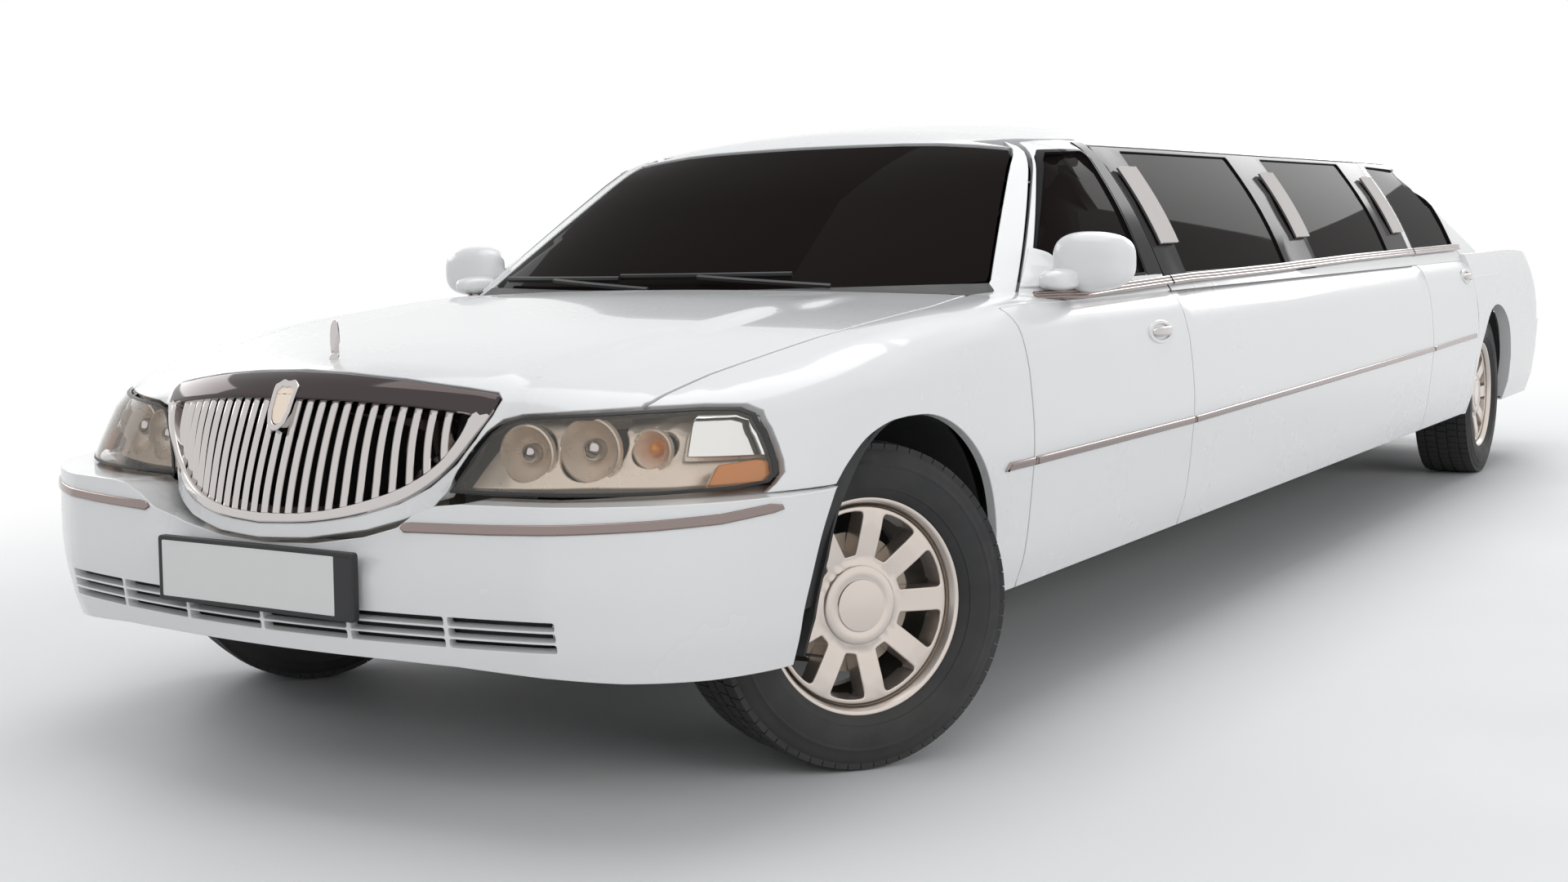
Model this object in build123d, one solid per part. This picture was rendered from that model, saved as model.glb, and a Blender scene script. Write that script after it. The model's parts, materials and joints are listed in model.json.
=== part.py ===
from build123d import *
import math
import os

# A stretched saloon limousine, full size, in millimetres.
# Frame: +X is the car's left side, -Y is the front, +Z is up, and the ground is Z = 0.
# A station is a distance along the car, in millimetres behind the front axle.

# Driving dimensions
STOCK_WHEELBASE = 2990.0
STRETCH = 3048.0
WHEELBASE = STOCK_WHEELBASE + STRETCH
FRONT_OVERHANG = 1030.0
REAR_OVERHANG = 1462.0
TAIL = WHEELBASE + REAR_OVERHANG
TRACK_FRONT = 1610.0
TRACK_REAR = 1666.0
TYRE_RADIUS = 351.0
TYRE_WIDTH = 225.0
RIM_RADIUS = 228.0
ARCH_RADIUS = 400.0
KINGPIN_X = 745.0
STEER_AT_REST = 32.0

DOOR_WALL = 90.0
BODY_WALL = 45.0
ROOF_WALL = 45.0
GLASS_INSET = 8.0
GLASS_THICKNESS = 6.0
PANEL_GAP = 6.0
PIVOT_REAR_TAPER = 0.32

SILL_Z = 297.0
BUMPER_TOP_Z = 645.0
BELT_Z = 985.0
GUTTER_Z = 1388.0
FLOOR_Z = 395.0
FLOOR_THICKNESS = 20.0

DOOR_FRONT = 570.0
DOOR_FRONT_REAR = 1742.0
DOOR_REAR = 4750.0
DOOR_REAR_REAR = 5620.0
HINGE_X = 971.0
HINGE_BACK = 26.0
HINGE_Z = (535.0, 760.0)


def at(station):
    """Y of a station."""
    return station + FRONT_OVERHANG - (FRONT_OVERHANG + TAIL) / 2


def both_sides(*shapes):
    """Each shape and its mirror image across the car's middle."""
    solids = []
    for shape in shapes:
        solids += shape.solids()
        solids += mirror(shape, about=Plane.YZ).solids()
    return Compound(solids)


def right_side(shape):
    return Compound(mirror(shape, about=Plane.YZ).solids())


def box(x, s, z):
    """A box between pairs of X, station and Z."""
    size = (x[1] - x[0], s[1] - s[0], z[1] - z[0])
    return Pos((x[0] + x[1]) / 2, at((s[0] + s[1]) / 2), (z[0] + z[1]) / 2) * Box(*size)


def tidy(shape):
    """Only the solids of a boolean result, without slivers."""
    return Compound([solid for solid in shape.solids() if solid.volume > 500])


# Plan outlines of the lower body, by height: the half width, then stations of the front centre,
# the front knee (with its X) and where the flank starts, and the same for the rear.
PLAN_COLUMNS = ("z", "half", "front", "knee_x", "knee", "start", "end", "rear_x", "rear_knee", "rear")
PLAN_LOW = [
    (SILL_Z, 945.0, -985.0, 640.0, -890.0, -380.0, TAIL - 520, 760.0, TAIL - 110, TAIL - 30),
    (382.0, 970.0, -1000.0, 655.0, -912.0, -390.0, TAIL - 520, 780.0, TAIL - 95, TAIL - 15),
    (500.0, 985.0, -1012.0, 660.0, -925.0, -400.0, TAIL - 520, 790.0, TAIL - 80, TAIL),
    (BUMPER_TOP_Z, 995.0, -1000.0, 655.0, -915.0, -400.0, TAIL - 520, 790.0, TAIL - 84, TAIL - 4),
]
PLAN_HIGH = [
    (540.0, 988.0, -1008.0, 345.0, -912.0, -330.0, TAIL - 560, 780.0, TAIL - 125, TAIL - 45),
    (BUMPER_TOP_Z, 995.0, -985.0, 380.0, -862.0, -300.0, TAIL - 560, 780.0, TAIL - 125, TAIL - 45),
    (800.0, 984.0, -925.0, 480.0, -785.0, -200.0, TAIL - 560, 770.0, TAIL - 115, TAIL - 45),
    (900.0, 962.0, -868.0, 450.0, -730.0, -120.0, TAIL - 580, 750.0, TAIL - 135, TAIL - 65),
    (1060.0, 876.0, -760.0, 420.0, -600.0, 0.0, TAIL - 620, 690.0, TAIL - 220, TAIL - 150),
]


def corner_middle(half, start, knee_x, knee):
    """The middle of the arc that leaves the flank at start and ends at the knee."""
    dx = half - knee_x
    ds = abs(start - knee)
    radius = (dx * dx + ds * ds) / (2 * dx)
    angle = math.atan2(ds, radius - dx) / 2
    reach = radius * math.sin(angle)
    if knee < start:
        reach = -reach
    return (half - radius + radius * math.cos(angle), at(start + reach))


def plan_face(row, side, ends):
    """A plan outline as a face, drawn in by side at the flanks and by ends at nose and tail."""
    r = dict(zip(PLAN_COLUMNS, row))
    half = r["half"] - side
    knee_x = r["knee_x"] - side * 0.5
    rear_x = r["rear_x"] - side * 0.5
    knee = r["knee"] + ends
    rear_knee = r["rear_knee"] - ends
    fx, fy = corner_middle(half, r["start"], knee_x, knee)
    rx, ry = corner_middle(half, r["end"], rear_x, rear_knee)
    start, end = at(r["start"]), at(r["end"])
    outline = [
        ThreePointArc((-knee_x, at(knee)), (0, at(r["front"] + ends)), (knee_x, at(knee))),
        ThreePointArc((knee_x, at(knee)), (fx, fy), (half, start)),
        Line((half, start), (half, end)),
        ThreePointArc((half, end), (rx, ry), (rear_x, at(rear_knee))),
        ThreePointArc((rear_x, at(rear_knee)), (0, at(r["rear"] - ends)), (-rear_x, at(rear_knee))),
        ThreePointArc((-rear_x, at(rear_knee)), (-rx, ry), (-half, end)),
        Line((-half, end), (-half, start)),
        ThreePointArc((-half, start), (-fx, fy), (-knee_x, at(knee))),
    ]
    return Pos(0, 0, r["z"]) * make_face(outline)


# Heights of the bonnet, waist and boot by station: at the middle and at CROWN_X.
CROWN_X = 1000.0
TOP_FRONT = [
    (-1100.0, 842.0, 560.0),
    (-620.0, 905.0, 722.0),
    (0.0, 955.0, 880.0),
    (400.0, 990.0, 935.0),
    (800.0, 1012.0, 958.0),
]
TOP_REAR = [
    (WHEELBASE + 180, 1028.0, 975.0),
    (WHEELBASE + 750, 1018.0, 972.0),
    (WHEELBASE + 1500, 960.0, 915.0),
]
# Heights of the roof by station: at the middle and at CROWN_X.
TOP_ROOF = [
    (1100.0, 1325.0, 1215.0),
    (1500.0, 1422.0, 1280.0),
    (2300.0, 1473.0, 1322.0),
    (4700.0, 1473.0, 1322.0),
    (5350.0, 1430.0, 1285.0),
    (5900.0, 1300.0, 1180.0),
]


def crown_face(row, drop):
    station, centre, edge = row
    top = ThreePointArc((-CROWN_X, edge - drop), (0, centre - drop), (CROWN_X, edge - drop))
    rest = Polyline((CROWN_X, edge - drop), (CROWN_X, 0), (-CROWN_X, 0), (-CROWN_X, edge - drop))
    plane = Plane(origin=(0, at(station), 0), x_dir=(1, 0, 0), z_dir=(0, -1, 0))
    return plane * make_face([top, rest])


def crown(rows, drop, ruled=False):
    return loft([crown_face(row, drop) for row in rows], ruled=ruled)


def bumper_band(side=0.0, ends=0.0):
    """The body between the sill and the bumpers' tops, drawn in at its flanks and ends."""
    return loft([plan_face(row, side, ends) for row in PLAN_LOW], ruled=True)


def upper_band(side=0.0, ends=0.0, drop=0.0):
    """The body from inside the bumpers up to the bonnet, waist and boot, drawn in likewise."""
    high = loft([plan_face(row, side, ends) for row in PLAN_HIGH])
    cap = crown(TOP_FRONT, drop) + crown([TOP_FRONT[-1], TOP_REAR[0]], drop, True) + crown(TOP_REAR, drop)
    return high & cap


def lower_body(side=0.0, ends=0.0, drop=0.0):
    """The body below the glass."""
    above = box((-1100, 1100), (-1200, 7700), (BUMPER_TOP_Z, 1100))
    return bumper_band(side, ends) + (upper_band(side, ends, drop) & above)


# The cabin's glass area, by height: the half width, then stations and X of the windscreen's
# middle and corner, where the side starts and ends, and the same for the rear window.
GLASS_COLUMNS = ("z", "half", "front", "corner_x", "corner", "start", "end", "rear_x", "rear_corner", "rear")
GLASS_ROWS = [
    (880.0, 969.5, 412.0, 813.0, 685.0, 900.0, 6190.0, 760.0, 6420.0, 6530.0),
    (BELT_Z, 912.0, 600.0, 767.0, 839.0, 1010.0, 5990.0, 720.0, 6200.0, 6310.0),
    (1500.0, 629.0, 1528.0, 543.0, 1652.0, 1708.0, 5055.0, 531.0, 5170.0, 5227.0),
]


def glass_face(row, side, ends):
    r = dict(zip(GLASS_COLUMNS, row))
    half = r["half"] - side
    fx, rx = r["corner_x"] - side * 0.7, r["rear_x"] - side * 0.7
    fs, rs = at(r["corner"] + ends), at(r["rear_corner"] - ends)
    outline = [
        ThreePointArc((-fx, fs), (0, at(r["front"] + ends)), (fx, fs)),
        Line((fx, fs), (half, at(r["start"] + ends))),
        Line((half, at(r["start"] + ends)), (half, at(r["end"] - ends))),
        Line((half, at(r["end"] - ends)), (rx, rs)),
        ThreePointArc((rx, rs), (0, at(r["rear"] - ends)), (-rx, rs)),
        Line((-rx, rs), (-half, at(r["end"] - ends))),
        Line((-half, at(r["end"] - ends)), (-half, at(r["start"] + ends))),
        Line((-half, at(r["start"] + ends)), (-fx, fs)),
    ]
    return Pos(0, 0, r["z"]) * make_face(outline)


def greenhouse(side=0.0, ends=0.0, drop=0.0):
    walls = loft([glass_face(row, side, ends) for row in GLASS_ROWS], ruled=True)
    top = crown(TOP_ROOF[:3], drop) + crown(TOP_ROOF[2:4], drop, True) + crown(TOP_ROOF[3:], drop)
    for row, station in ((TOP_ROOF[0], 300.0), (TOP_ROOF[-1], 6600.0)):
        pair = sorted([row, (station, row[1], row[2])])
        top += crown(pair, drop, True)
    return walls & top


def skin_x(z):
    """Half width of the straight flank at a height."""
    rows = [(r[0], r[1]) for r in PLAN_LOW] + [(r[0], r[1]) for r in PLAN_HIGH[2:4]]
    rows += [(BELT_Z, 912.0), (1420.0, 673.0)]
    for (z0, x0), (z1, x1) in zip(rows, rows[1:]):
        if z <= z1:
            return x0 + (x1 - x0) * (z - z0) / (z1 - z0)
    return rows[-1][1]


def side_prism(outline, grow=0.0):
    """A side-view outline cut through the flank. Rows: station, Z, the way the edge faces along
    the car (-1 front, 1 rear, 0 none), the way it faces up, and how it slants with depth."""
    faces = []
    for x in (1120.0, 400.0):
        points = []
        for station, z, facing, up, slant in outline:
            depth = skin_x(z) - x
            points.append((at(station + facing * grow - slant * depth), z + up * grow))
        plane = Plane(origin=(x, 0, 0), x_dir=(0, 1, 0), z_dir=(1, 0, 0))
        faces.append(plane * make_face(Polyline(*points, close=True)))
    return loft(faces, ruled=True)


EDGE_HEIGHTS = (300.0, 382.0, 500.0, 645.0, 800.0, 900.0)


def upright(station, facing, slant):
    """The rows of a door's upright edge from its bottom corner to below the belt."""
    return [(station, z, facing, -1 if z == EDGE_HEIGHTS[0] else 0, slant) for z in EDGE_HEIGHTS]


FRONT_DOOR = upright(DOOR_FRONT, -1, 0.0)
FRONT_DOOR += [
    (DOOR_FRONT, 966.0, -1, 1, 0.0),
    (870.0, 1000.0, -1.6, 1, 0.0),
    (1430.0, 1372.0, -1.6, 1, 0.0),
    (1520.0, 1382.0, 0, 1, 0.0),
    (DOOR_FRONT_REAR, 1382.0, 1, 1, PIVOT_REAR_TAPER),
    (DOOR_FRONT_REAR, BELT_Z, 1, 0, PIVOT_REAR_TAPER),
]
FRONT_DOOR += reversed(upright(DOOR_FRONT_REAR, 1, PIVOT_REAR_TAPER))

REAR_TAPER = 0.40
REAR_DOOR = upright(DOOR_REAR, -1, 0.0)
REAR_DOOR += [
    (DOOR_REAR, BELT_Z, -1, 0, 0.0),
    (DOOR_REAR, 1382.0, -1, 1, 0.0),
    (5440.0, 1382.0, 0.6, 1, REAR_TAPER),
    (5545.0, 1325.0, 1.2, 0.6, REAR_TAPER),
    (5598.0, 1240.0, 1.1, 0.2, REAR_TAPER),
    (5618.0, 1130.0, 1, 0, REAR_TAPER),
    (DOOR_REAR_REAR, BELT_Z, 1, 0, REAR_TAPER),
    (DOOR_REAR_REAR, 900.0, 1, 0, REAR_TAPER),
    (DOOR_REAR_REAR, 800.0, 1, 0, REAR_TAPER),
    (DOOR_REAR_REAR, 645.0, 1, 0, REAR_TAPER),
    (5614.0, 500.0, 1, 0, REAR_TAPER),
    (5592.0, 382.0, 1, 0, REAR_TAPER),
    (5588.0, 300.0, 1, -1, REAR_TAPER),
]

FRAME_DEPTH = 64.0


def door_zone(grow=0.0):
    """Everything outboard of the door frames: the whole wall below the belt, the frame above it."""
    belt, top = 912.0 - FRAME_DEPTH - grow, 673.0 - FRAME_DEPTH - grow
    points = [(812 - grow, 200), (812 - grow, 972), (belt + 6, 972), (top, 1420), (1150, 1420), (1150, 200)]
    plane = Plane(origin=(0, at(6500), 0), x_dir=(1, 0, 0), z_dir=(0, -1, 0))
    return extrude(plane * make_face(Polyline(*points, close=True)), 7000)


def relief(outline, front):
    """Room behind the edge ahead of a door, where the door's own corner swings."""
    rows = [(s, z, facing, up, 0.6 if s == front else slant) for s, z, facing, up, slant in outline]
    return side_prism(rows, PANEL_GAP) & box((930, 1100), (front - 60, front), (290, 900))


HANDLES = {"front": (1534.0, 854.0), "rear": (5486.0, 889.0)}

# Window outlines in side view, as station and Z
WINDOW_FRONT = [(960.0, 1003.0), (1440.0, 1346.0), (1640.0, 1352.0), (1652.0, 1003.0)]
WINDOW_STRETCH = [
    [(1950.0, 1003.0), (1950.0, 1352.0), (2980.0, 1352.0), (2980.0, 1003.0)],
    [(3360.0, 1003.0), (3360.0, 1352.0), (4400.0, 1352.0), (4400.0, 1003.0)],
]
WINDOW_REAR = [
    (4812.0, 1003.0),
    (4812.0, 1352.0),
    (5395.0, 1348.0),
    (5490.0, 1300.0),
    (5540.0, 1230.0),
    (5556.0, 1140.0),
    (5560.0, 1003.0),
]


def window_prism(points):
    plane = Plane(origin=(500, 0, 0), x_dir=(0, 1, 0), z_dir=(1, 0, 0))
    return extrude(plane * make_face(Polyline(*[(at(s), z) for s, z in points], close=True)), 600)


def front_prism(points, near, far):
    """A front-view outline, as X and Z, swept between two stations."""
    plane = Plane(origin=(0, at(far), 0), x_dir=(1, 0, 0), z_dir=(0, -1, 0))
    return extrude(plane * make_face(Polyline(*points, close=True)), far - near)


def plan_prism(outline, low, high):
    return Pos(0, 0, low) * extrude(make_face(outline), high - low)


def wheel_arches():
    """The four wheel openings, as one cutter for the left side."""
    cuts = []
    for station in (0.0, WHEELBASE):
        place = Pos(850, at(station), TYRE_RADIUS) * Rot(0, 90, 0)
        cuts.append(place * Cylinder(ARCH_RADIUS, 500))
        cuts.append(box((600, 1100), (station - ARCH_RADIUS, station + ARCH_RADIUS), (200, TYRE_RADIUS)))
    return cuts


# Bonnet and boot lid outlines in plan, and front-view outlines of grille and headlamp
HOOD_SIDE = [(560.0, -1100.0), (700.0, -640.0), (745.0, -300.0), (786.0, 60.0), (800.0, 400.0), (788.0, 690.0)]
HOOD_REAR = 548.0
HOOD_REAR_GAP = 12.0
HOOD_AXIS = (704.0, 955.0)
BOOT_FRONT = 6262.0
BOOT_FRONT_GAP = 14.0
BOOT_CORNER = (748.0, 6160.0)
BOOT_AXIS = (6146.0, 983.0)
LID_HINGE_X = 738.0
# How far the room round a lid's hinge reaches inwards and outwards from the eye
HOOD_POCKET = (13.0, 57.0)
BOOT_POCKET = (74.0, 13.0)
LID_POCKET_BACK = 24.0
LID_PIN_SEAT = 16.0
BOOT_SIDE = [BOOT_CORNER, (760.0, 6500.0), (752.0, 7300.0), (752.0, 7600.0)]
BOOT_BOTTOM = 668.0
GRILLE = [
    (0.0, 886.0),
    (200.0, 874.0),
    (446.0, 842.0),
    (452.0, 826.0),
    (436.0, 772.0),
    (398.0, 706.0),
    (328.0, 648.0),
    (225.0, 608.0),
    (112.0, 590.0),
    (0.0, 585.0),
]
GRILLE_MOUTH = [
    (0.0, 832.0),
    (200.0, 826.0),
    (404.0, 806.0),
    (404.0, 776.0),
    (372.0, 716.0),
    (308.0, 666.0),
    (212.0, 630.0),
    (108.0, 613.0),
    (0.0, 609.0),
]
SLATS = 27
SLAT_PITCH = 30.0
SLAT_WIDTH = 13.0
LAMP = [
    (383.0, 652.0),
    (404.0, 700.0),
    (440.0, 756.0),
    (500.0, 803.0),
    (700.0, 818.0),
    (866.0, 806.0),
    (918.0, 760.0),
    (944.0, 700.0),
    (925.0, 652.0),
]
# The bonnet's lower edge below the grille, in front view
NOSE = [
    (0.0, 802.0),
    (490.0, 802.0),
    (434.0, 759.0),
    (398.0, 702.0),
    (376.0, 652.0),
    (347.0, 620.0),
    (238.0, 580.0),
    (119.0, 561.0),
    (0.0, 556.0),
]
NOSE_ROOM = [
    (0.0, 810.0),
    (506.0, 810.0),
    (447.0, 763.0),
    (411.0, 707.0),
    (391.0, 655.0),
    (360.0, 614.0),
    (244.0, 572.0),
    (122.0, 553.0),
    (0.0, 548.0),
]
SHIELD = [(0.0, 845.0), (44.0, 845.0), (38.0, 778.0), (22.0, 761.0), (0.0, 759.0)]
# The bumper's lower intake: rows of openings between slim bars
INTAKE_X = 656.0
INTAKE_COLUMNS = 6
INTAKE_ROWS = ((370.0, 386.0), (391.5, 407.5), (413.0, 429.0))


def hood_prism(grow, low):
    back = HOOD_REAR_GAP if grow else 0
    side = [(x + grow, at(s + (back if s > 600 else 0))) for x, s in HOOD_SIDE]
    left = [(-x, y) for x, y in side]
    rear = ThreePointArc(side[-1], (0, at(HOOD_REAR + back)), left[-1])
    lines = [Polyline(*side), rear, Polyline(*left), Line(left[0], side[0])]
    return plan_prism(lines, low, 1200)


def boot_prism(grow, low):
    ahead = BOOT_FRONT_GAP if grow else 0
    side = [(x + grow, at(s - (ahead if s < 6400 else 0))) for x, s in BOOT_SIDE]
    left = [(-x, y) for x, y in side]
    front = ThreePointArc(side[0], (0, at(BOOT_FRONT - ahead)), left[0])
    lines = [Polyline(*side), front, Polyline(*left), Line(left[-1], side[-1])]
    return plan_prism(lines, low, 1200)


def lid_lug(axis, way):
    """A left hinge eye that reaches out of a lid's edge, towards way along the car."""
    s, z = axis
    reach = (s - way * 62, s) if way > 0 else (s, s - way * 62)
    lug = box((LID_HINGE_X - 6, LID_HINGE_X + 6), reach, (z - 9, z + 7))
    lug += Pos(LID_HINGE_X, at(s), z) * Rot(0, 90, 0) * Cylinder(9, 12)
    return lug


def lid_bore(axis):
    s, z = axis
    return Pos(LID_HINGE_X, at(s), z) * Rot(0, 90, 0) * Cylinder(4.1, 60)


def lid_pocket(axis, way, pocket):
    """Room round the eye and for the lid's swinging corner, open upwards and towards the lid."""
    s, z = axis
    reach = (s - 30, s + LID_POCKET_BACK) if way > 0 else (s - LID_POCKET_BACK, s + 30)
    inwards, outwards = pocket
    return box((LID_HINGE_X - inwards, LID_HINGE_X + outwards), reach, (z - 60, z + 60))


def lid_pin(axis, pocket):
    """The hinge pin, let into the metal at both sides of its pocket."""
    s, z = axis
    low, high = LID_HINGE_X - pocket[0] - LID_PIN_SEAT, LID_HINGE_X + pocket[1] + LID_PIN_SEAT
    return Pos((low + high) / 2, at(s), z) * Rot(0, 90, 0) * Cylinder(4, high - low)


def cavities():
    """The hollows of the nose, cabin and tail, and of the cabin above the belt."""
    tall = (250, 1200)
    nose = lower_body(BODY_WALL, BODY_WALL, 40) & box((-1100, 1100), (-1100, 480), tall)
    cabin = lower_body(DOOR_WALL, 400, 40) & box((-1100, 1100), (480, 5850), tall)
    tail = lower_body(BODY_WALL, BODY_WALL, 40) & box((-1100, 1100), (5850, 7600), tall)
    return nose, cabin, tail, greenhouse(ROOF_WALL, ROOF_WALL, ROOF_WALL)


def body_shell(hollows):
    """The whole painted skin as one hollow shell, with wheel arches, before it is split."""
    outer = lower_body() + greenhouse()
    shell = outer
    for hollow in hollows:
        shell -= hollow
    for cut in wheel_arches():
        shell -= cut
        shell -= mirror(cut, about=Plane.YZ)
    return shell


def hinge_arm(front, z):
    """A goose-neck arm on the body side of one door hinge, with the bore for the door's pin."""
    s = front + HINGE_BACK
    neck = [(HINGE_X, at(s - 6)), (HINGE_X, at(s + 6)), (HINGE_X - 98, at(s + 6))]
    neck += [(HINGE_X - 98, at(front - PANEL_GAP)), (HINGE_X - 86, at(front - PANEL_GAP)), (HINGE_X - 86, at(s - 6))]
    arm = Pos(0, 0, z - 18) * extrude(make_face(Polyline(*neck, close=True)), 36)
    arm += Pos(HINGE_X, at(s), z) * Cylinder(8, 36)
    return arm - Pos(HINGE_X, at(s), z) * Cylinder(4.1, 40)


def hinge_pocket(front, z):
    """The notch in the door's front edge that the arm swings through."""
    s = front + HINGE_BACK
    return box((800, HINGE_X + 13), (front - 50, s + 13), (z - 23, z + 23))


def hinge_pin(front, z):
    return Pos(HINGE_X, at(front + HINGE_BACK), z) * Cylinder(4, 80)


def door(shell, outline, window, front):
    panel = shell & (side_prism(outline) & door_zone())
    panel -= window_prism(window)
    for z in HINGE_Z:
        panel -= hinge_pocket(front, z)
        panel += hinge_pin(front, z)
    return tidy(panel)


def glass_layer():
    deep = GLASS_INSET + GLASS_THICKNESS
    return greenhouse(GLASS_INSET, GLASS_INSET, GLASS_INSET) - greenhouse(deep, deep, deep)


# The wheels
TYRE_PROFILE = [(-100, 231), (-111, 262), (-112.5, 290), (-106, 325), (-88, 346), (-60, 351)]


def tyre():
    left = TYRE_PROFILE
    right = [(-x, r) for x, r in reversed(left)]
    plane = Plane(origin=(0, 0, 0), x_dir=(1, 0, 0), z_dir=(0, -1, 0))
    return revolve(plane * make_face(Polyline(*left, *right, close=True)), axis=Axis.X)


SPOKES = 9


def rim():
    """An alloy rim, its face towards +X, with a blind hub bore from inboard."""
    barrel = [(-100, 231), (-100, 218), (-88, 205), (60, 190), (80, 205), (92, 216), (100, 218), (100, 231)]
    plane = Plane(origin=(0, 0, 0), x_dir=(1, 0, 0), z_dir=(0, -1, 0))
    wheel = revolve(plane * make_face(Polyline(*barrel, close=True)), axis=Axis.X)
    disc = [(20, 0), (20, 70), (48, 90), (58, 205), (82, 207), (78, 90), (84, 60), (84, 0)]
    wheel += revolve(plane * make_face(Polyline(*disc, close=True)), axis=Axis.X)
    window = Plane(origin=(0, 0, 0), x_dir=(0, 1, 0), z_dir=(1, 0, 0))
    hole = [(-13, 104), (-45, 190), (45, 190), (13, 104)]
    cutter = extrude(window * make_face(Polyline(*hole, close=True)), 130)
    for i in range(SPOKES):
        wheel -= Rot(i * 360 / SPOKES, 0, 0) * cutter
    return wheel - Pos(40, 0, 0) * Rot(0, 90, 0) * Cylinder(22.1, 56)


def knuckle():
    """A left knuckle at straight ahead: an upright bored for the kingpin, and its stub axle."""
    upright = Pos(KINGPIN_X, 0, TYRE_RADIUS) * Box(56, 60, 230)
    upright += Pos(KINGPIN_X + 42, 0, TYRE_RADIUS) * Rot(0, 90, 0) * Cylinder(70, 28)
    reach = TRACK_FRONT / 2 + 60 - KINGPIN_X
    upright += Pos(KINGPIN_X + reach / 2, 0, TYRE_RADIUS) * Rot(0, 90, 0) * Cylinder(22, reach)
    return upright - Pos(KINGPIN_X, 0, TYRE_RADIUS) * Cylinder(12.1, 400)


def steered(shape, side):
    """Turn a front wheel piece about its kingpin to the rest angle, and put it in place."""
    shape = Pos(-KINGPIN_X, 0, 0) * shape
    if side < 0:
        shape = mirror(shape, about=Plane.YZ)
    return Pos(side * KINGPIN_X, at(0), 0) * Rot(0, 0, -STEER_AT_REST) * shape


def front_suspension():
    """Arms, kingpins and the crossmember that carry the front knuckles."""
    z = TYRE_RADIUS
    parts = Pos(0, at(0), 265) * Box(760, 150, 70)
    arms = None
    for low in (True, False):
        height = z - 133 if low else z + 133
        points = [(355, -90), (KINGPIN_X - 10, -24), (KINGPIN_X - 10, 24), (355, 90)]
        arm = Pos(0, at(0), height - 12) * extrude(make_face(Polyline(*points, close=True)), 24)
        arm += Pos(KINGPIN_X, at(0), height) * Cylinder(24, 24)
        arms = arm if arms is None else arms + arm
    arms += Pos(KINGPIN_X, at(0), z) * Cylinder(12, 290)
    arms += Pos(355, at(0), z) * Box(50, 150, 300)
    return parts + arms + mirror(arms, about=Plane.YZ)


def rear_axle():
    """The live axle with its differential, stub ends and the propeller shaft."""
    y, z = at(WHEELBASE), TYRE_RADIUS
    axle = Pos(0, y, z) * Rot(0, 90, 0) * Cylinder(42, 2 * 700)
    axle += Pos(0, y, z) * Sphere(130)
    axle += Pos(0, y, z) * Rot(0, 90, 0) * Cylinder(22, TRACK_REAR + 100)
    for side in (-1, 1):
        axle += Pos(side * 580, y, (z + 465) / 2) * Cylinder(38, 465 - z)
    shaft = Pos(0, at((1150 + WHEELBASE) / 2), z) * Rot(90, 0, 0) * Cylinder(38, WHEELBASE - 1150)
    return axle + shaft


# The frame in side view (station, top) and in plan (station, outer X)
RAIL_DEPTH = 95.0
RAIL_WIDTH = 80.0
RAIL_SIDE = [(-860, 500), (430, 500), (640, 395), (5330, 395), (5560, 560), (7360, 560)]
# Crossmembers: station, underside and half width; they pass below the propeller shaft.
CROSSMEMBERS = [(-780.0, 430.0, 400.0), (760.0, 255.0, 700.0), (2950.0, 255.0, 730.0), (5100.0, 255.0, 730.0), (7280.0, 480.0, 560.0)]
RAIL_PLAN = [(-860, 460), (480, 460), (760, 800), (5220, 800), (5480, 620), (7360, 620)]


def frame_rails():
    tops = [(at(s), z) for s, z in RAIL_SIDE]
    lows = [(y, z - RAIL_DEPTH) for y, z in reversed(tops)]
    plane = Plane(origin=(0, 0, 0), x_dir=(0, 1, 0), z_dir=(1, 0, 0))
    profile = extrude(plane * make_face(Polyline(*tops, *lows, close=True)), 1000)
    outer = [(x, at(s)) for s, x in RAIL_PLAN]
    inner = [(x - RAIL_WIDTH, y) for x, y in reversed(outer)]
    rail = profile & plan_prism([Polyline(*outer, *inner, close=True)], 0, 900)
    frame = rail + mirror(rail, about=Plane.YZ)
    for station, low, half in CROSSMEMBERS:
        frame += box((-half, half), (station - 45, station + 45), (low, low + 50))
    return frame


WINDSCREEN = [(0.0, 1394.0), (300.0, 1384.0), (566.0, 1352.0), (738.0, 1004.0), (0.0, 996.0)]
BACKLIGHT = [(0.0, 1384.0), (300.0, 1376.0), (520.0, 1352.0), (668.0, 1070.0), (0.0, 1066.0)]
TAIL_LAMP = [(774.0, 700.0), (774.0, 884.0), (960.0, 884.0), (960.0, 700.0)]
PLATE = (530.0, 135.0)
PLATE_Z = 478.0


def half_to_whole(shape):
    """A half that meets its mirror image at the car's middle, joined."""
    return tidy(shape + mirror(shape, about=Plane.YZ))


def whole(points, near, far):
    """A symmetrical front-view outline from its +X half."""
    return front_prism(points + [(-x, z) for x, z in reversed(points) if x > 0], near, far)


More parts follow.
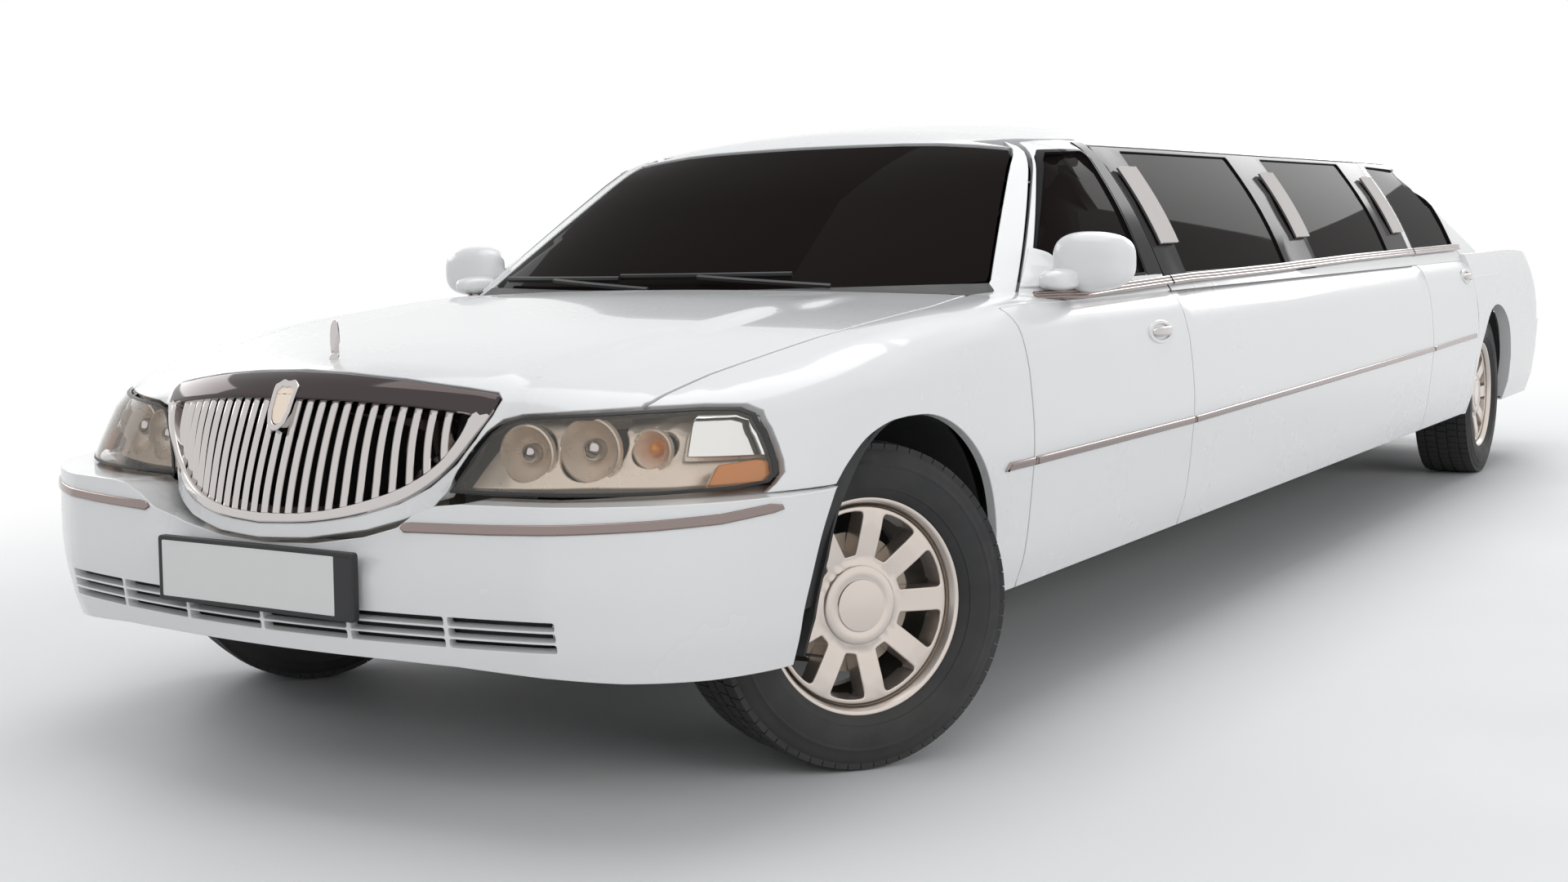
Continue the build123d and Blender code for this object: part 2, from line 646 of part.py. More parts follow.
def split_body(parts, shell):
    """Cut the shell into its fixed panels, the bonnet and the boot lid."""
    left = shell & box((0, 1100), (-1100, 7600), (200, 1600))
    left -= side_prism(FRONT_DOOR, PANEL_GAP) & door_zone(PANEL_GAP)
    left -= side_prism(REAR_DOOR, PANEL_GAP) & door_zone(PANEL_GAP)
    left -= relief(FRONT_DOOR, DOOR_FRONT)
    left -= relief(REAR_DOOR, DOOR_REAR)
    left -= front_prism(WINDSCREEN, 300, 1600)
    left -= front_prism(BACKLIGHT, 5200, 6700)
    hood_cut = hood_prism(PANEL_GAP, 700)
    grille = whole(GRILLE, -1100, -500)
    lamp = front_prism(LAMP, -1000, -540)
    nose = left & box((-10, 1100), (-1100, 480), (200, 1010))
    nose += left & box((-10, 1100), (480, DOOR_FRONT - 1), (200, 1010))
    bumper = box((-10, 1100), (-1100, -380), (200, BUMPER_TOP_Z))
    plate = box((-PLATE[0] / 2, PLATE[0] / 2), (-1100, -900), (PLATE_Z - PLATE[1] / 2, PLATE_Z + PLATE[1] / 2))
    nose_room = whole(NOSE_ROOM, -1100, -500)
    parts["front_bumper"] = half_to_whole((nose & bumper) + bumper_shelf() - plate - nose_room - intake())
    skin = upper_band() - upper_band(BODY_WALL, BODY_WALL, BODY_WALL)
    skin &= box((-10, 700), (-1100, -640), (500, 900))
    parts["grille"] = half_to_whole(grille_half(skin))
    upper = nose & box((-10, 1100), (-1100, 600), (BUMPER_TOP_Z, 1010))
    parts["headlamps"] = both_sides(tidy((upper & lamp) - grille))
    fender = nose - bumper - hood_cut - grille - lamp - nose_room
    parts["front_fenders"] = both_sides(tidy(fender & box((350, 1100), (-1100, 600), (200, 1010))))
    lamp_room = front_prism([(x, z + (PANEL_GAP if z > 700 else 0)) for x, z in LAMP], -1000, -540)
    hood = left & hood_prism(0, 780) & box((-10, 900), (-1100, 760), (780, 1200))
    hood -= lamp_room
    hood += skin & whole(NOSE, -1100, -640)
    hood -= grille
    hood += lid_lug(HOOD_AXIS, 1)
    hood -= lid_bore(HOOD_AXIS)
    parts["hood"] = half_to_whole(hood)
    cowl = left & box((-10, 1100), (DOOR_FRONT - 40, 1000), (780, 1003))
    cowl -= hood_cut
    cowl -= box((340, 1100), (0, DOOR_FRONT - 1), (200, 1010))
    cowl -= lid_pocket(HOOD_AXIS, 1, HOOD_POCKET)
    cowl += lid_pin(HOOD_AXIS, HOOD_POCKET)
    parts["cowl"] = half_to_whole(cowl)
    roof = left & box((-10, 1100), (400, 1650), (1003, GUTTER_Z))
    roof += left & box((-10, 1100), (400, 6000), (GUTTER_Z, 1600))
    parts["roof"] = half_to_whole(roof)
    parts["stretch_sides"] = both_sides(tidy(stretch_side(left)))
    rear = left & box((-10, 1100), (5350, 7600), (200, GUTTER_Z))
    rear_bumper = box((-10, 1100), (6420, 7600), (200, BUMPER_TOP_Z))
    lamps = front_prism(TAIL_LAMP, 7200, 7600)
    parts["rear_bumper"] = half_to_whole(rear & rear_bumper)
    parts["tail_lamps"] = both_sides(tidy((rear & lamps) - rear_bumper))
    quarter = rear - rear_bumper - lamps - boot_prism(PANEL_GAP, BOOT_BOTTOM - PANEL_GAP)
    quarter -= lid_pocket(BOOT_AXIS, -1, BOOT_POCKET)
    quarter += lid_pin(BOOT_AXIS, BOOT_POCKET)
    parts["rear_quarters"] = half_to_whole(quarter)
    lid = left & boot_prism(0, BOOT_BOTTOM) & box((-10, 900), (6000, 7600), (BOOT_BOTTOM, 1200))
    lid += lid_lug(BOOT_AXIS, -1)
    lid -= lid_bore(BOOT_AXIS)
    parts["boot_lid"] = half_to_whole(lid)


def bumper_shelf():
    """The flat top that runs from the bumper's edge in under the lamps."""
    ledge = bumper_band() - bumper_band(150, 185)
    return ledge & box((-10, 1100), (-1100, -400), (605, BUMPER_TOP_Z))


def intake():
    """The openings of the lower intake, as one cutter."""
    pitch = 2 * INTAKE_X / INTAKE_COLUMNS
    cuts = None
    for column in range(INTAKE_COLUMNS):
        left = -INTAKE_X + column * pitch
        for z in INTAKE_ROWS:
            cut = box((left + 5, left + pitch - 5), (-1100, -700), z)
            cuts = cut if cuts is None else cuts + cut
    return cuts


def grille_half(skin):
    """The +X half of the grille: a frame round the mouth, upright slats and a blank shield."""
    outline = whole(GRILLE, -1100, -640)
    frame = skin & (outline - whole(GRILLE_MOUTH, -1100, -640))
    layer = upper_band(8, 8, 8) - upper_band(36, 36, 36)
    layer &= outline
    slats = None
    for i in range(SLATS // 2 + 1):
        x = i * SLAT_PITCH
        slat = box((x - SLAT_WIDTH / 2, x + SLAT_WIDTH / 2), (-1100, -640), (590, 850))
        slats = slat if slats is None else slats + slat
    shield = skin & whole(SHIELD, -1100, -640)
    return (frame + (layer & slats) + shield) & box((-10, 700), (-1200, 0), (0, 1000))


def door_handle(station, z):
    """A lever handle on two stems."""
    x = skin_x(z)
    lever = Pos(x + 14, at(station), z) * Box(16, 150, 26)
    lever = fillet(lever.edges(), 6)
    for offset in (-52, 52):
        lever += Pos(x - 8, at(station + offset), z) * Rot(0, 90, 0) * Cylinder(8, 40)
    return lever


def stretch_side(left):
    side = left & box((0, 1100), (1650, 4850), (200, GUTTER_Z))
    for window in WINDOW_STRETCH:
        side -= window_prism(window)
    return side


def add_glass(parts, layer):
    left = layer & box((0, 1100), (0, 7000), (900, 1600))
    parts["windscreen"] = half_to_whole(left & front_prism(WINDSCREEN, 300, 1600))
    parts["rear_window"] = half_to_whole(left & front_prism(BACKLIGHT, 5200, 6700))
    panes = [left & window_prism(window) for window in WINDOW_STRETCH]
    parts["stretch_glass"] = both_sides(tidy(Compound([s for pane in panes for s in pane.solids()])))


def floor_pan(cabin):
    z = (FLOOR_Z, FLOOR_Z + FLOOR_THICKNESS)
    floor = box((-846, 846), (DOOR_FRONT, 5600), z)
    floor += cabin & box((-1000, 1000), (1790, 4700), z)
    floor += box((-610, 610), (5580, 5600), (z[0], 580))
    floor += box((-610, 610), (5580, 7380), (560, 580))
    floor += box((-700, 700), (550, 570), (z[0], 930))
    floor += box((-600, 600), (5800, 5820), (580, 960))
    return floor


def hinge_posts(cabin):
    """The pillars inside the walls that carry the door hinges' arms."""
    solids = []
    for front in (DOOR_FRONT, DOOR_REAR):
        low = FLOOR_Z + FLOOR_THICKNESS if front > 1000 else 330
        post = cabin & box((846, 1000), (front - PANEL_GAP - 60, front - PANEL_GAP), (low, 940))
        for z in HINGE_Z:
            post += hinge_arm(front, z)
        solids += post.solids()
    return both_sides(Compound(solids))


def arch_liners(shell):
    rings = []
    for station, inner in ((0.0, 500), (WHEELBASE, 640)):
        place = Pos((inner + 940) / 2, at(station), TYRE_RADIUS) * Rot(0, 90, 0)
        ring = place * Cylinder(ARCH_RADIUS + 12, 940 - inner) - place * Cylinder(ARCH_RADIUS + 2, 940 - inner)
        rings.append(ring & box((0, 1000), (station - 450, station + 450), (305, 900)))
    return both_sides(tidy(Compound([s for ring in rings for s in (ring - shell).solids()])))


def exhaust():
    pipe = Pos(250, at((228 + 7420) / 2), 220) * Rot(90, 0, 0) * Cylinder(28, 7192)
    pipe += Pos(250, at(228), 260) * Cylinder(28, 80)
    return pipe + box((160, 340), (3300, 4100), (186, 254))


def seats():
    seat = box((-640, 640), (1130, 1700), (415, 690)) + box((-640, 640), (1590, 1740), (600, 1130))
    rear = box((-690, 690), (5060, 5560), (415, 720)) + box((-690, 690), (5430, 5570), (600, 1170))
    bench = box((-800, -330), (2150, 4560), (415, 700)) + box((-800, -670), (2150, 4560), (600, 1060))
    return Compound([seat, rear, bench])


def dashboard():
    board = box((-740, 740), (800, 1000), (640, 930)) + box((-740, 740), (DOOR_FRONT, 820), (820, 900))
    column = Pos(370, at(1080), 857) * Rot(-66, 0, 0) * Cylinder(22, 240)
    wheel = Pos(370, at(1190), 906) * Rot(-66, 0, 0) * Torus(185, 15)
    hub = Pos(370, at(1190), 906) * Rot(-66, 0, 0) * (Cylinder(45, 30) + Box(360, 34, 14))
    return board + column + wheel + hub


def partition(cabin, upper):
    """The wall behind the driver, with its window, fitted to the cabin's section."""
    slab = box((-1000, 1000), (1800, 1820), (FLOOR_Z + FLOOR_THICKNESS, 1500))
    wall = (cabin & slab) + (upper & slab)
    return wall - box((-520, 520), (1700, 1900), (1020, 1330))


def ornament():
    """A plain slim fin on an oval foot."""
    profile = [(-800, 860), (-745, 860), (-720, 979), (-738, 981), (-772, 900), (-800, 892)]
    plane = Plane(origin=(-3, 0, 0), x_dir=(0, 1, 0), z_dir=(1, 0, 0))
    fin = extrude(plane * make_face(Polyline(*[(at(s), z) for s, z in profile], close=True)), 6)
    return fin + Pos(0, at(-770), 876) * Cylinder(24, 30)


def plate_holder():
    front = -FRONT_OVERHANG
    holder = box((-PLATE[0] / 2, PLATE[0] / 2), (front, -968), (PLATE_Z - PLATE[1] / 2, PLATE_Z + PLATE[1] / 2))
    for x in (-178, 178):
        for z in (-48, 48):
            holder -= Pos(x, at(front + 10), PLATE_Z + z) * Rot(90, 0, 0) * Cylinder(3, 24)
    return holder


def mirror_housing():
    """A door mirror: the foot on the door's sail and the rounded shell."""
    shell = Pos(980, at(905), 1035) * Box(190, 110, 130)
    shell = fillet(shell.edges(), 26)
    return shell + Pos(893, at(925), 990) * Box(76, 60, 60)


def main():
    os.makedirs("parts", exist_ok=True)
    parts = {}
    hollows = cavities()
    cabin, upper = hollows[1], hollows[3]
    shell = body_shell(hollows)
    layer = glass_layer()
    doors = [("front", FRONT_DOOR, WINDOW_FRONT, DOOR_FRONT), ("rear", REAR_DOOR, WINDOW_REAR, DOOR_REAR)]
    for name, outline, window, front in doors:
        panel = door(shell, outline, window, front)
        panel += door_handle(*HANDLES[name])
        if name == "front":
            panel += mirror_housing() - layer
        pane = tidy(layer & window_prism(window) & door_zone())
        parts["door_" + name + "_left"] = panel
        parts["door_" + name + "_right"] = right_side(panel)
        parts["glass_" + name + "_left"] = pane
        parts["glass_" + name + "_right"] = right_side(pane)
    split_body(parts, shell)
    add_glass(parts, layer)
    parts["frame_rails"] = frame_rails()
    parts["floor_pan"] = floor_pan(cabin) - parts["frame_rails"]
    parts["hinge_posts"] = hinge_posts(cabin)
    parts["arch_liners"] = arch_liners(shell)
    parts["front_suspension"] = front_suspension() - parts["frame_rails"]
    parts["rear_axle"] = rear_axle()
    parts["engine_block"] = box((-280, 280), (-420, 330), (300, 830)) + box((-150, 150), (300, 1150), (312, 392))
    parts["radiator"] = box((-330, 330), (-800, -745), (480, 800))
    parts["exhaust"] = exhaust()
    parts["fuel_tank"] = box((-430, 430), (6520, 6960), (330, 560))
    parts["seats"] = seats() - parts["frame_rails"]
    parts["dashboard"] = dashboard()
    parts["partition"] = partition(cabin, upper)
    parts["plate_holder"] = plate_holder()
    parts["hood_ornament"] = tidy(ornament() - lower_body())
    front_wheel = Pos(TRACK_FRONT / 2, 0, TYRE_RADIUS)
    for side, word in ((1, "left"), (-1, "right")):
        parts["knuckle_" + word] = steered(knuckle(), side)
        parts["tyre_front_" + word] = steered(front_wheel * tyre(), side)
        parts["rim_front_" + word] = steered(front_wheel * rim(), side)
        turn = Rot(0, 0, 0 if side > 0 else 180)
        rear_wheel = Pos(side * TRACK_REAR / 2, at(WHEELBASE), TYRE_RADIUS) * turn
        parts["tyre_rear_" + word] = rear_wheel * tyre()
        parts["rim_rear_" + word] = rear_wheel * rim()
    for name, shape in parts.items():
        export_step(shape, "parts/" + name + ".step")
    return parts


if __name__ == "__main__":
    parts = main()
    for name, shape in parts.items():
        low, high = shape.bounding_box().min, shape.bounding_box().max
        print(name, len(shape.solids()), shape.is_valid, [round(v) for v in (*low, *high)])
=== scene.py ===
"""A stretched saloon limousine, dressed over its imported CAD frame."""

import json
import math

import bpy
import numpy as np
from mathutils import Matrix, Vector
from mathutils.geometry import delaunay_2d_cdt


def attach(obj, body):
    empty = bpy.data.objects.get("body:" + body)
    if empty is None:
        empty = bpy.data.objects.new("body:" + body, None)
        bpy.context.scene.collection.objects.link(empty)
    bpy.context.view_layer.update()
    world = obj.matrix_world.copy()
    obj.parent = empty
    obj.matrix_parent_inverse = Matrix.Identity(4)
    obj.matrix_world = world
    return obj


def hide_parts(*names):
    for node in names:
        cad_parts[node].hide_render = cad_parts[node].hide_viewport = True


bl_info = {
    "name": "Stretched saloon limousine",
    "version": (1, 0, 0),
    "blender": (4, 5, 0),
    "location": "View3D > Sidebar > Limousine",
    "description": "Builds the panels, glass, lamps, wheels and stage around the packed frame",
    "category": "Object",
}

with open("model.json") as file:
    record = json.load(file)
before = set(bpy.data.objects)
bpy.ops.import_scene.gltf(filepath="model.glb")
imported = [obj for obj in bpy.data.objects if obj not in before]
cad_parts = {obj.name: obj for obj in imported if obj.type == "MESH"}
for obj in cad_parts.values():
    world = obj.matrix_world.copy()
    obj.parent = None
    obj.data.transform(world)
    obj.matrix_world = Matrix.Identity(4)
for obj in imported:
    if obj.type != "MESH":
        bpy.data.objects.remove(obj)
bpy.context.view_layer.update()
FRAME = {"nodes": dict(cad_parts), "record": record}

# Sizes in millimetres. A station is a distance behind the front axle.
WHEELBASE = 6038.0
FRONT_OVERHANG = 1030.0
TAIL = WHEELBASE + 1462.0
AXLE_Y = FRONT_OVERHANG - (FRONT_OVERHANG + TAIL) / 2
TYRE_RADIUS = 351.0
ARCH_RADIUS = 402.0
KINGPIN_X = 745.0
KINGPIN_ARM = 60.0
REAR_WHEEL_X = 833.0
BELT = 985.0
SIDE_BULGE = 20.0
# How far the front wheels are turned at rest, in degrees
REST_LOCK = 32.0

PLAN_COLUMNS = ("z", "half", "front", "knee_x", "knee", "start", "end", "rear_x", "rear_knee", "rear")
PLAN_LOW = np.array([
    (297, 945, -985, 640, -890, -380, TAIL - 520, 760, TAIL - 110, TAIL - 30),
    (382, 970, -1000, 655, -912, -390, TAIL - 520, 780, TAIL - 95, TAIL - 15),
    (500, 985, -1012, 660, -925, -400, TAIL - 520, 790, TAIL - 80, TAIL),
    (645, 995, -1000, 655, -915, -400, TAIL - 520, 790, TAIL - 84, TAIL - 4),
], float)
PLAN_HIGH = np.array([
    (540, 988, -1008, 345, -912, -330, TAIL - 560, 780, TAIL - 125, TAIL - 45),
    (645, 995, -985, 380, -862, -300, TAIL - 560, 780, TAIL - 125, TAIL - 45),
    (800, 984, -925, 480, -785, -200, TAIL - 560, 770, TAIL - 115, TAIL - 45),
    (900, 962, -868, 450, -730, -120, TAIL - 580, 750, TAIL - 135, TAIL - 65),
    (1060, 876, -760, 420, -600, 0, TAIL - 620, 690, TAIL - 220, TAIL - 150),
], float)
PLAN_FLANK = np.vstack([PLAN_LOW[:3], PLAN_HIGH[1:]])
GLASS_COLUMNS = ("z", "half", "front", "corner_x", "corner", "start", "end", "rear_x", "rear_corner", "rear")
GLASS_ROWS = np.array([
    (880, 969.5, 412, 813, 685, 900, 6190, 760, 6420, 6530),
    (985, 912, 600, 772, 839, 1010, 5990, 720, 6200, 6310),
    (1500, 629, 1528, 556, 1652, 1708, 5055, 531, 5170, 5227),
], float)
# Crown heights along the car, at its middle and 1000 mm out
TOP_BODY = np.array([
    (-1100, 842, 560), (-620, 908, 752), (-300, 934, 850), (0, 957, 910), (400, 990, 944), (800, 1012, 964),
    (WHEELBASE + 180, 1028, 975), (WHEELBASE + 750, 1018, 972), (WHEELBASE + 1500, 960, 915),
], float)
TOP_ROOF = np.array([
    (300, 1325, 1215), (1100, 1325, 1215), (1500, 1432, 1290), (2300, 1474, 1322),
    (4700, 1474, 1322), (5350, 1446, 1312), (5900, 1322, 1205), (6600, 1322, 1205),
], float)


def ease(x, table, column):
    """A smooth curve through a table's column, against its first column."""
    xs, ys = table[:, 0], table[:, column]
    slopes = np.diff(ys) / np.diff(xs)
    tangent = np.empty_like(ys)
    tangent[0], tangent[-1] = slopes[0], slopes[-1]
    left, right = slopes[:-1], slopes[1:]
    flat = left * right <= 0
    tangent[1:-1] = np.where(flat, 0.0, 2 * left * right / np.where(flat, 1.0, left + right))
    x = np.clip(x, xs[0], xs[-1])
    i = np.clip(np.searchsorted(xs, x) - 1, 0, len(xs) - 2)
    step = xs[i + 1] - xs[i]
    t = (x - xs[i]) / step
    return (
        ys[i] * (1 + 2 * t) * (1 - t) ** 2 + step * tangent[i] * t * (1 - t) ** 2
        + ys[i + 1] * t * t * (3 - 2 * t) + step * tangent[i + 1] * t * t * (t - 1)
    )


def ramp(x, low, high):
    """0 below low, 1 above high and a smooth rise between."""
    t = np.clip((x - low) / (high - low), 0, 1)
    return t * t * (3 - 2 * t)


def round_max(a, b, radius):
    """The larger of two distances, with the edge between them rounded."""
    both = np.maximum(a + radius, 0) ** 2 + np.maximum(b + radius, 0) ** 2
    return np.where((a > -radius) & (b > -radius), np.sqrt(both) - radius, np.maximum(a, b))


def wing_taper(s):
    """How far the front wings draw in ahead of the doors."""
    return 27.0 * ramp(-s, -620.0, 180.0) * (1 - 0.35 * ramp(-s, 500.0, 900.0))


def plan_wall(x, s, z, rows):
    """Distance outside the lower body's plan outline at each height."""
    p = {name: ease(z, rows, i) for i, name in enumerate(PLAN_COLUMNS) if i}
    ax = np.abs(x) + wing_taper(s)
    wall = ax - p["half"]
    ends = (("start", "knee_x", "knee", "front", -1), ("end", "rear_x", "rear_knee", "rear", 1))
    for start, knee_x, knee, tip, way in ends:
        dx = p["half"] - p[knee_x]
        ds = np.abs(p[knee] - p[start])
        radius = (dx * dx + ds * ds) / (2 * dx)
        beyond = way * (s - p[start])
        corner = np.hypot(ax - (p["half"] - radius), beyond) - radius
        sag = way * (p[tip] - p[knee])
        bow = (p[knee_x] ** 2 + sag ** 2) / (2 * sag)
        inner = np.minimum(ax, p[knee_x])
        edge = way * p[tip] - bow + np.sqrt(bow * bow - inner * inner)
        nose = (way * s - edge) * np.sqrt(1 - (inner / bow) ** 2)
        wall = np.where(beyond > 0, np.where(ax > p[knee_x], corner, nose), wall)
    return wall


def crown_top(x, s, table):
    """Height of a top surface, which falls from its middle to its sides."""
    middle, edge = ease(s, table, 1), ease(s, table, 2)
    return middle - (middle - edge) * (x / 1000.0) ** 2


def bonnet_crease(x, s):
    """How far the bonnet's middle stands above its sides."""
    line = np.interp(s, [-900, -600, 0, 600], [430, 455, 520, 600])
    fade = ramp(s, -960, -760) * (1 - ramp(s, 300, 640))
    return 9.0 * fade * (1 - ramp(np.abs(x), line - 34, line + 14))


def shoulder_radius(s):
    """How softly the sides turn into the top, along the car."""
    return np.interp(s, [-900, -500, 0, 600, 5600, 6200, 7300], [25, 45, 75, 60, 60, 45, 45])


def body_under(rows):
    """A surface from plan rows, closed above by the bonnet, waist and deck."""
    def surface(x, s, z):
        top = (z - crown_top(x, s, TOP_BODY) - bonnet_crease(x, s)) * 0.97
        return round_max(plan_wall(x, s, z, rows), top, shoulder_radius(s))
    return surface


flank = body_under(PLAN_FLANK)
upper = body_under(PLAN_HIGH)

# The bumper's upper edge in front view, where it dips below the grille
DIP = np.array([(0, 545), (122, 550), (244, 569), (330, 594), (372, 622), (420, 640), (470, 645), (1000, 645)], float)


def bumper(x, s, z):
    """The bumpers' skin, dished under the grille."""
    edge = np.interp(np.abs(x), DIP[:, 0], DIP[:, 1])
    middle = 1 - ramp(np.abs(x), 250, 400)
    dish = 26.0 * middle * ramp(z, edge - 85, edge) * (s < 0)
    return plan_wall(x, s, z, PLAN_LOW) + dish


def greenhouse(x, s, z):
    """The cabin's surface above the belt: side glass, screens and roof."""
    p = {name: ease(z, GLASS_ROWS, i) for i, name in enumerate(GLASS_COLUMNS) if i}
    ax = np.abs(x)
    wall = (ax - p["half"] - SIDE_BULGE * np.sin(np.pi * np.clip((z - BELT) / 400.0, 0, 1))) * 0.876
    ends = (("start", "corner_x", "corner", "front", -1, 0.48), ("end", "rear_x", "rear_corner", "rear", 1, 0.42))
    for start, corner_x, corner, tip, way, lean in ends:
        sag = way * (p[tip] - p[corner])
        bow = (p[corner_x] ** 2 + sag ** 2) / (2 * sag)
        inner = np.minimum(ax, p[corner_x] + 30)
        edge = way * p[tip] - bow + np.sqrt(bow * bow - inner * inner)
        screen = (way * s - edge) * lean
        run_x, run_s = p["half"] - p[corner_x], way * (p[corner] - p[start])
        length = np.hypot(run_x, run_s)
        pillar = ((ax - p[corner_x]) * run_s + (way * s - way * p[corner]) * run_x) / length
        wall = round_max(wall, round_max(pillar * 0.85, screen, 12.0), 25.0)
    top = (z - crown_top(x, s, TOP_ROOF)) * 0.98
    return round_max(wall, top, 42.0)


def inset(surface, depth):
    """A surface drawn in by depth, or out by a negative one."""
    return lambda x, s, z: surface(x, s, z) + depth


def root(f, low, high, steps=30):
    """Where f turns from negative at low to positive at high."""
    low, high = low.copy(), high.copy()
    for _ in range(steps):
        middle = (low + high) / 2
        below = f(middle) < 0
        low = np.where(below, middle, low)
        high = np.where(below, high, middle)
    return (low + high) / 2


class Side:
    """Maps station and Z to the left side of a surface."""

    def __init__(self, surface):
        self.surface = surface

    def place(self, uv):
        s, z = uv[:, 0], uv[:, 1]
        x = root(lambda x: self.surface(x, s, z), np.zeros_like(s), np.full_like(s, 1150.0))
        return np.stack([x, s, z], 1)

    def flat(self, points):
        return points[:, [1, 2]]

    def outward(self, points):
        return np.tile([1.0, 0, 0], (len(points), 1))


class Top:
    """Maps X and station to the top of a surface."""

    def __init__(self, surface, low=300.0, high=1600.0):
        self.surface, self.low, self.high = surface, low, high

    def place(self, uv):
        x, s = uv[:, 0], uv[:, 1]
        z = root(lambda z: self.surface(x, s, z), np.full_like(s, self.low), np.full_like(s, self.high))
        return np.stack([x, s, z], 1)

    def flat(self, points):
        return points[:, [0, 1]]

    def outward(self, points):
        return np.tile([0, 0, 1.0], (len(points), 1))


class End:
    """Maps X and Z to a surface's front or rear, which faces near."""

    def __init__(self, surface, near, far):
        self.surface, self.near, self.far = surface, near, far

    def place(self, uv):
        x, z = uv[:, 0], uv[:, 1]
        s = root(lambda s: self.surface(x, s, z), np.full_like(x, self.far), np.full_like(x, self.near))
        return np.stack([x, s, z], 1)

    def flat(self, points):
        return points[:, [0, 2]]

    def outward(self, points):
        return np.tile([0, float(np.sign(self.near - self.far)), 0], (len(points), 1))


class Barrel:
    """Maps station and the angle about a lengthwise axis."""

    def __init__(self, surface, x0, z0, scale=9.0):
        self.surface, self.x0, self.z0, self.scale = surface, x0, z0, scale

    def place(self, uv):
        s, a = uv[:, 0], np.radians(uv[:, 1] / self.scale)
        f = lambda r: self.surface(self.x0 + r * np.cos(a), s, self.z0 + r * np.sin(a))
        r = root(f, np.zeros_like(s), np.full_like(s, 1200.0))
        return np.stack([self.x0 + r * np.cos(a), s, self.z0 + r * np.sin(a)], 1)

    def flat(self, points):
        a = np.degrees(np.arctan2(points[:, 2] - self.z0, points[:, 0] - self.x0))
        return np.stack([points[:, 1], a * self.scale], 1)

    def outward(self, points):
        return (points - [self.x0, 0, self.z0]) * [1, 0, 1]


class Cross:
    """Maps X and the angle about a crosswise axis, up from straight ahead."""

    def __init__(self, surface, s0, z0, scale=22.0):
        self.surface, self.s0, self.z0, self.scale = surface, s0, z0, scale

    def place(self, uv):
        x, a = uv[:, 0], np.radians(uv[:, 1] / self.scale)
        f = lambda r: self.surface(x, self.s0 - r * np.cos(a), self.z0 + r * np.sin(a))
        r = root(f, np.zeros_like(x), np.full_like(x, 2200.0))
        return np.stack([x, self.s0 - r * np.cos(a), self.z0 + r * np.sin(a)], 1)

    def flat(self, points):
        a = np.degrees(np.arctan2(points[:, 2] - self.z0, self.s0 - points[:, 1]))
        return np.stack([points[:, 0], a * self.scale], 1)

    def outward(self, points):
        return (points - [0, self.s0, self.z0]) * [0, 1, 1]


class Post:
    """Maps the angle about an upright axis, left from straight ahead (way -1) or behind, and Z."""

    def __init__(self, surface, s0, way=-1.0, scale=17.0):
        self.surface, self.s0, self.way, self.scale = surface, s0, way, scale

    def place(self, uv):
        a, z = np.radians(uv[:, 0] / self.scale), uv[:, 1]
        f = lambda r: self.surface(r * np.sin(a), self.s0 + self.way * r * np.cos(a), z)
        r = root(f, np.zeros_like(z), np.full_like(z, 2400.0))
        return np.stack([r * np.sin(a), self.s0 + self.way * r * np.cos(a), z], 1)

    def flat(self, points):
        a = np.degrees(np.arctan2(points[:, 0], self.way * (points[:, 1] - self.s0)))
        return np.stack([a * self.scale, points[:, 2]], 1)

    def outward(self, points):
        return (points - [0, self.s0, 0]) * [1, 1, 0]


def divided(points, step, closed=False):
    """A polyline with points no further apart than step."""
    points = [np.array(p, float) for p in points]
    out = []
    for a, b in zip(points, points[1:] + (points[:1] if closed else [])):
        n = max(1, int(math.ceil(np.linalg.norm(b - a) / step)))
        out += [a + (b - a) * i / n for i in range(n)]
    return np.array(out if closed else out + [points[-1]])


def rounded(points, radius, count=6):
    """A closed outline with each corner rounded. A radius may be one number or one for each corner."""
    points = [np.array(p, float) for p in points]
    radii = [radius] * len(points) if np.isscalar(radius) else radius
    out = []
    for i, p in enumerate(points):
        a, b = points[i - 1] - p, points[(i + 1) % len(points)] - p
        la, lb = np.linalg.norm(a), np.linalg.norm(b)
        turn = math.acos(np.clip(a @ b / (la * lb), -1, 1))
        if radii[i] <= 0 or turn > math.radians(172):
            out.append(p)
            continue
        cut = min(radii[i] / math.tan(turn / 2), la * 0.48, lb * 0.48)
        start, end = p + a / la * cut, p + b / lb * cut
        for k in range(count + 1):
            t = k / count
            out.append(start * (1 - t) ** 2 + p * 2 * t * (1 - t) + end * t * t)
    return out


def smooth_line(points, count=8):
    """A Catmull-Rom curve through points."""
    p = [np.array(q, float) for q in points]
    p = [2 * p[0] - p[1]] + p + [2 * p[-1] - p[-2]]
    out = []
    for a, b, c, d in zip(p, p[1:], p[2:], p[3:]):
        for k in range(count):
            t = k / count
            cubic = (2 * a - 5 * b + 4 * c - d) * t * t + (3 * b - a - 3 * c + d) * t ** 3
            out.append(0.5 * (2 * b + (c - a) * t + cubic))
    return out + [p[-2]]


def even(points):
    """A symmetrical closed outline from its +X half, which starts and ends at X 0."""
    return [tuple(p) for p in points] + [(-p[0], p[1]) for p in reversed(points) if p[0] > 0.01]


def inside(points, loop):
    """Which points lie in a closed outline."""
    x, y = points[:, 0], points[:, 1]
    hit = np.zeros(len(points), bool)
    for (x1, y1), (x2, y2) in zip(loop, np.roll(loop, -1, axis=0)):
        if y1 != y2:
            hit ^= ((y1 > y) != (y2 > y)) & (x < (x2 - x1) * (y - y1) / (y2 - y1) + x1)
    return hit


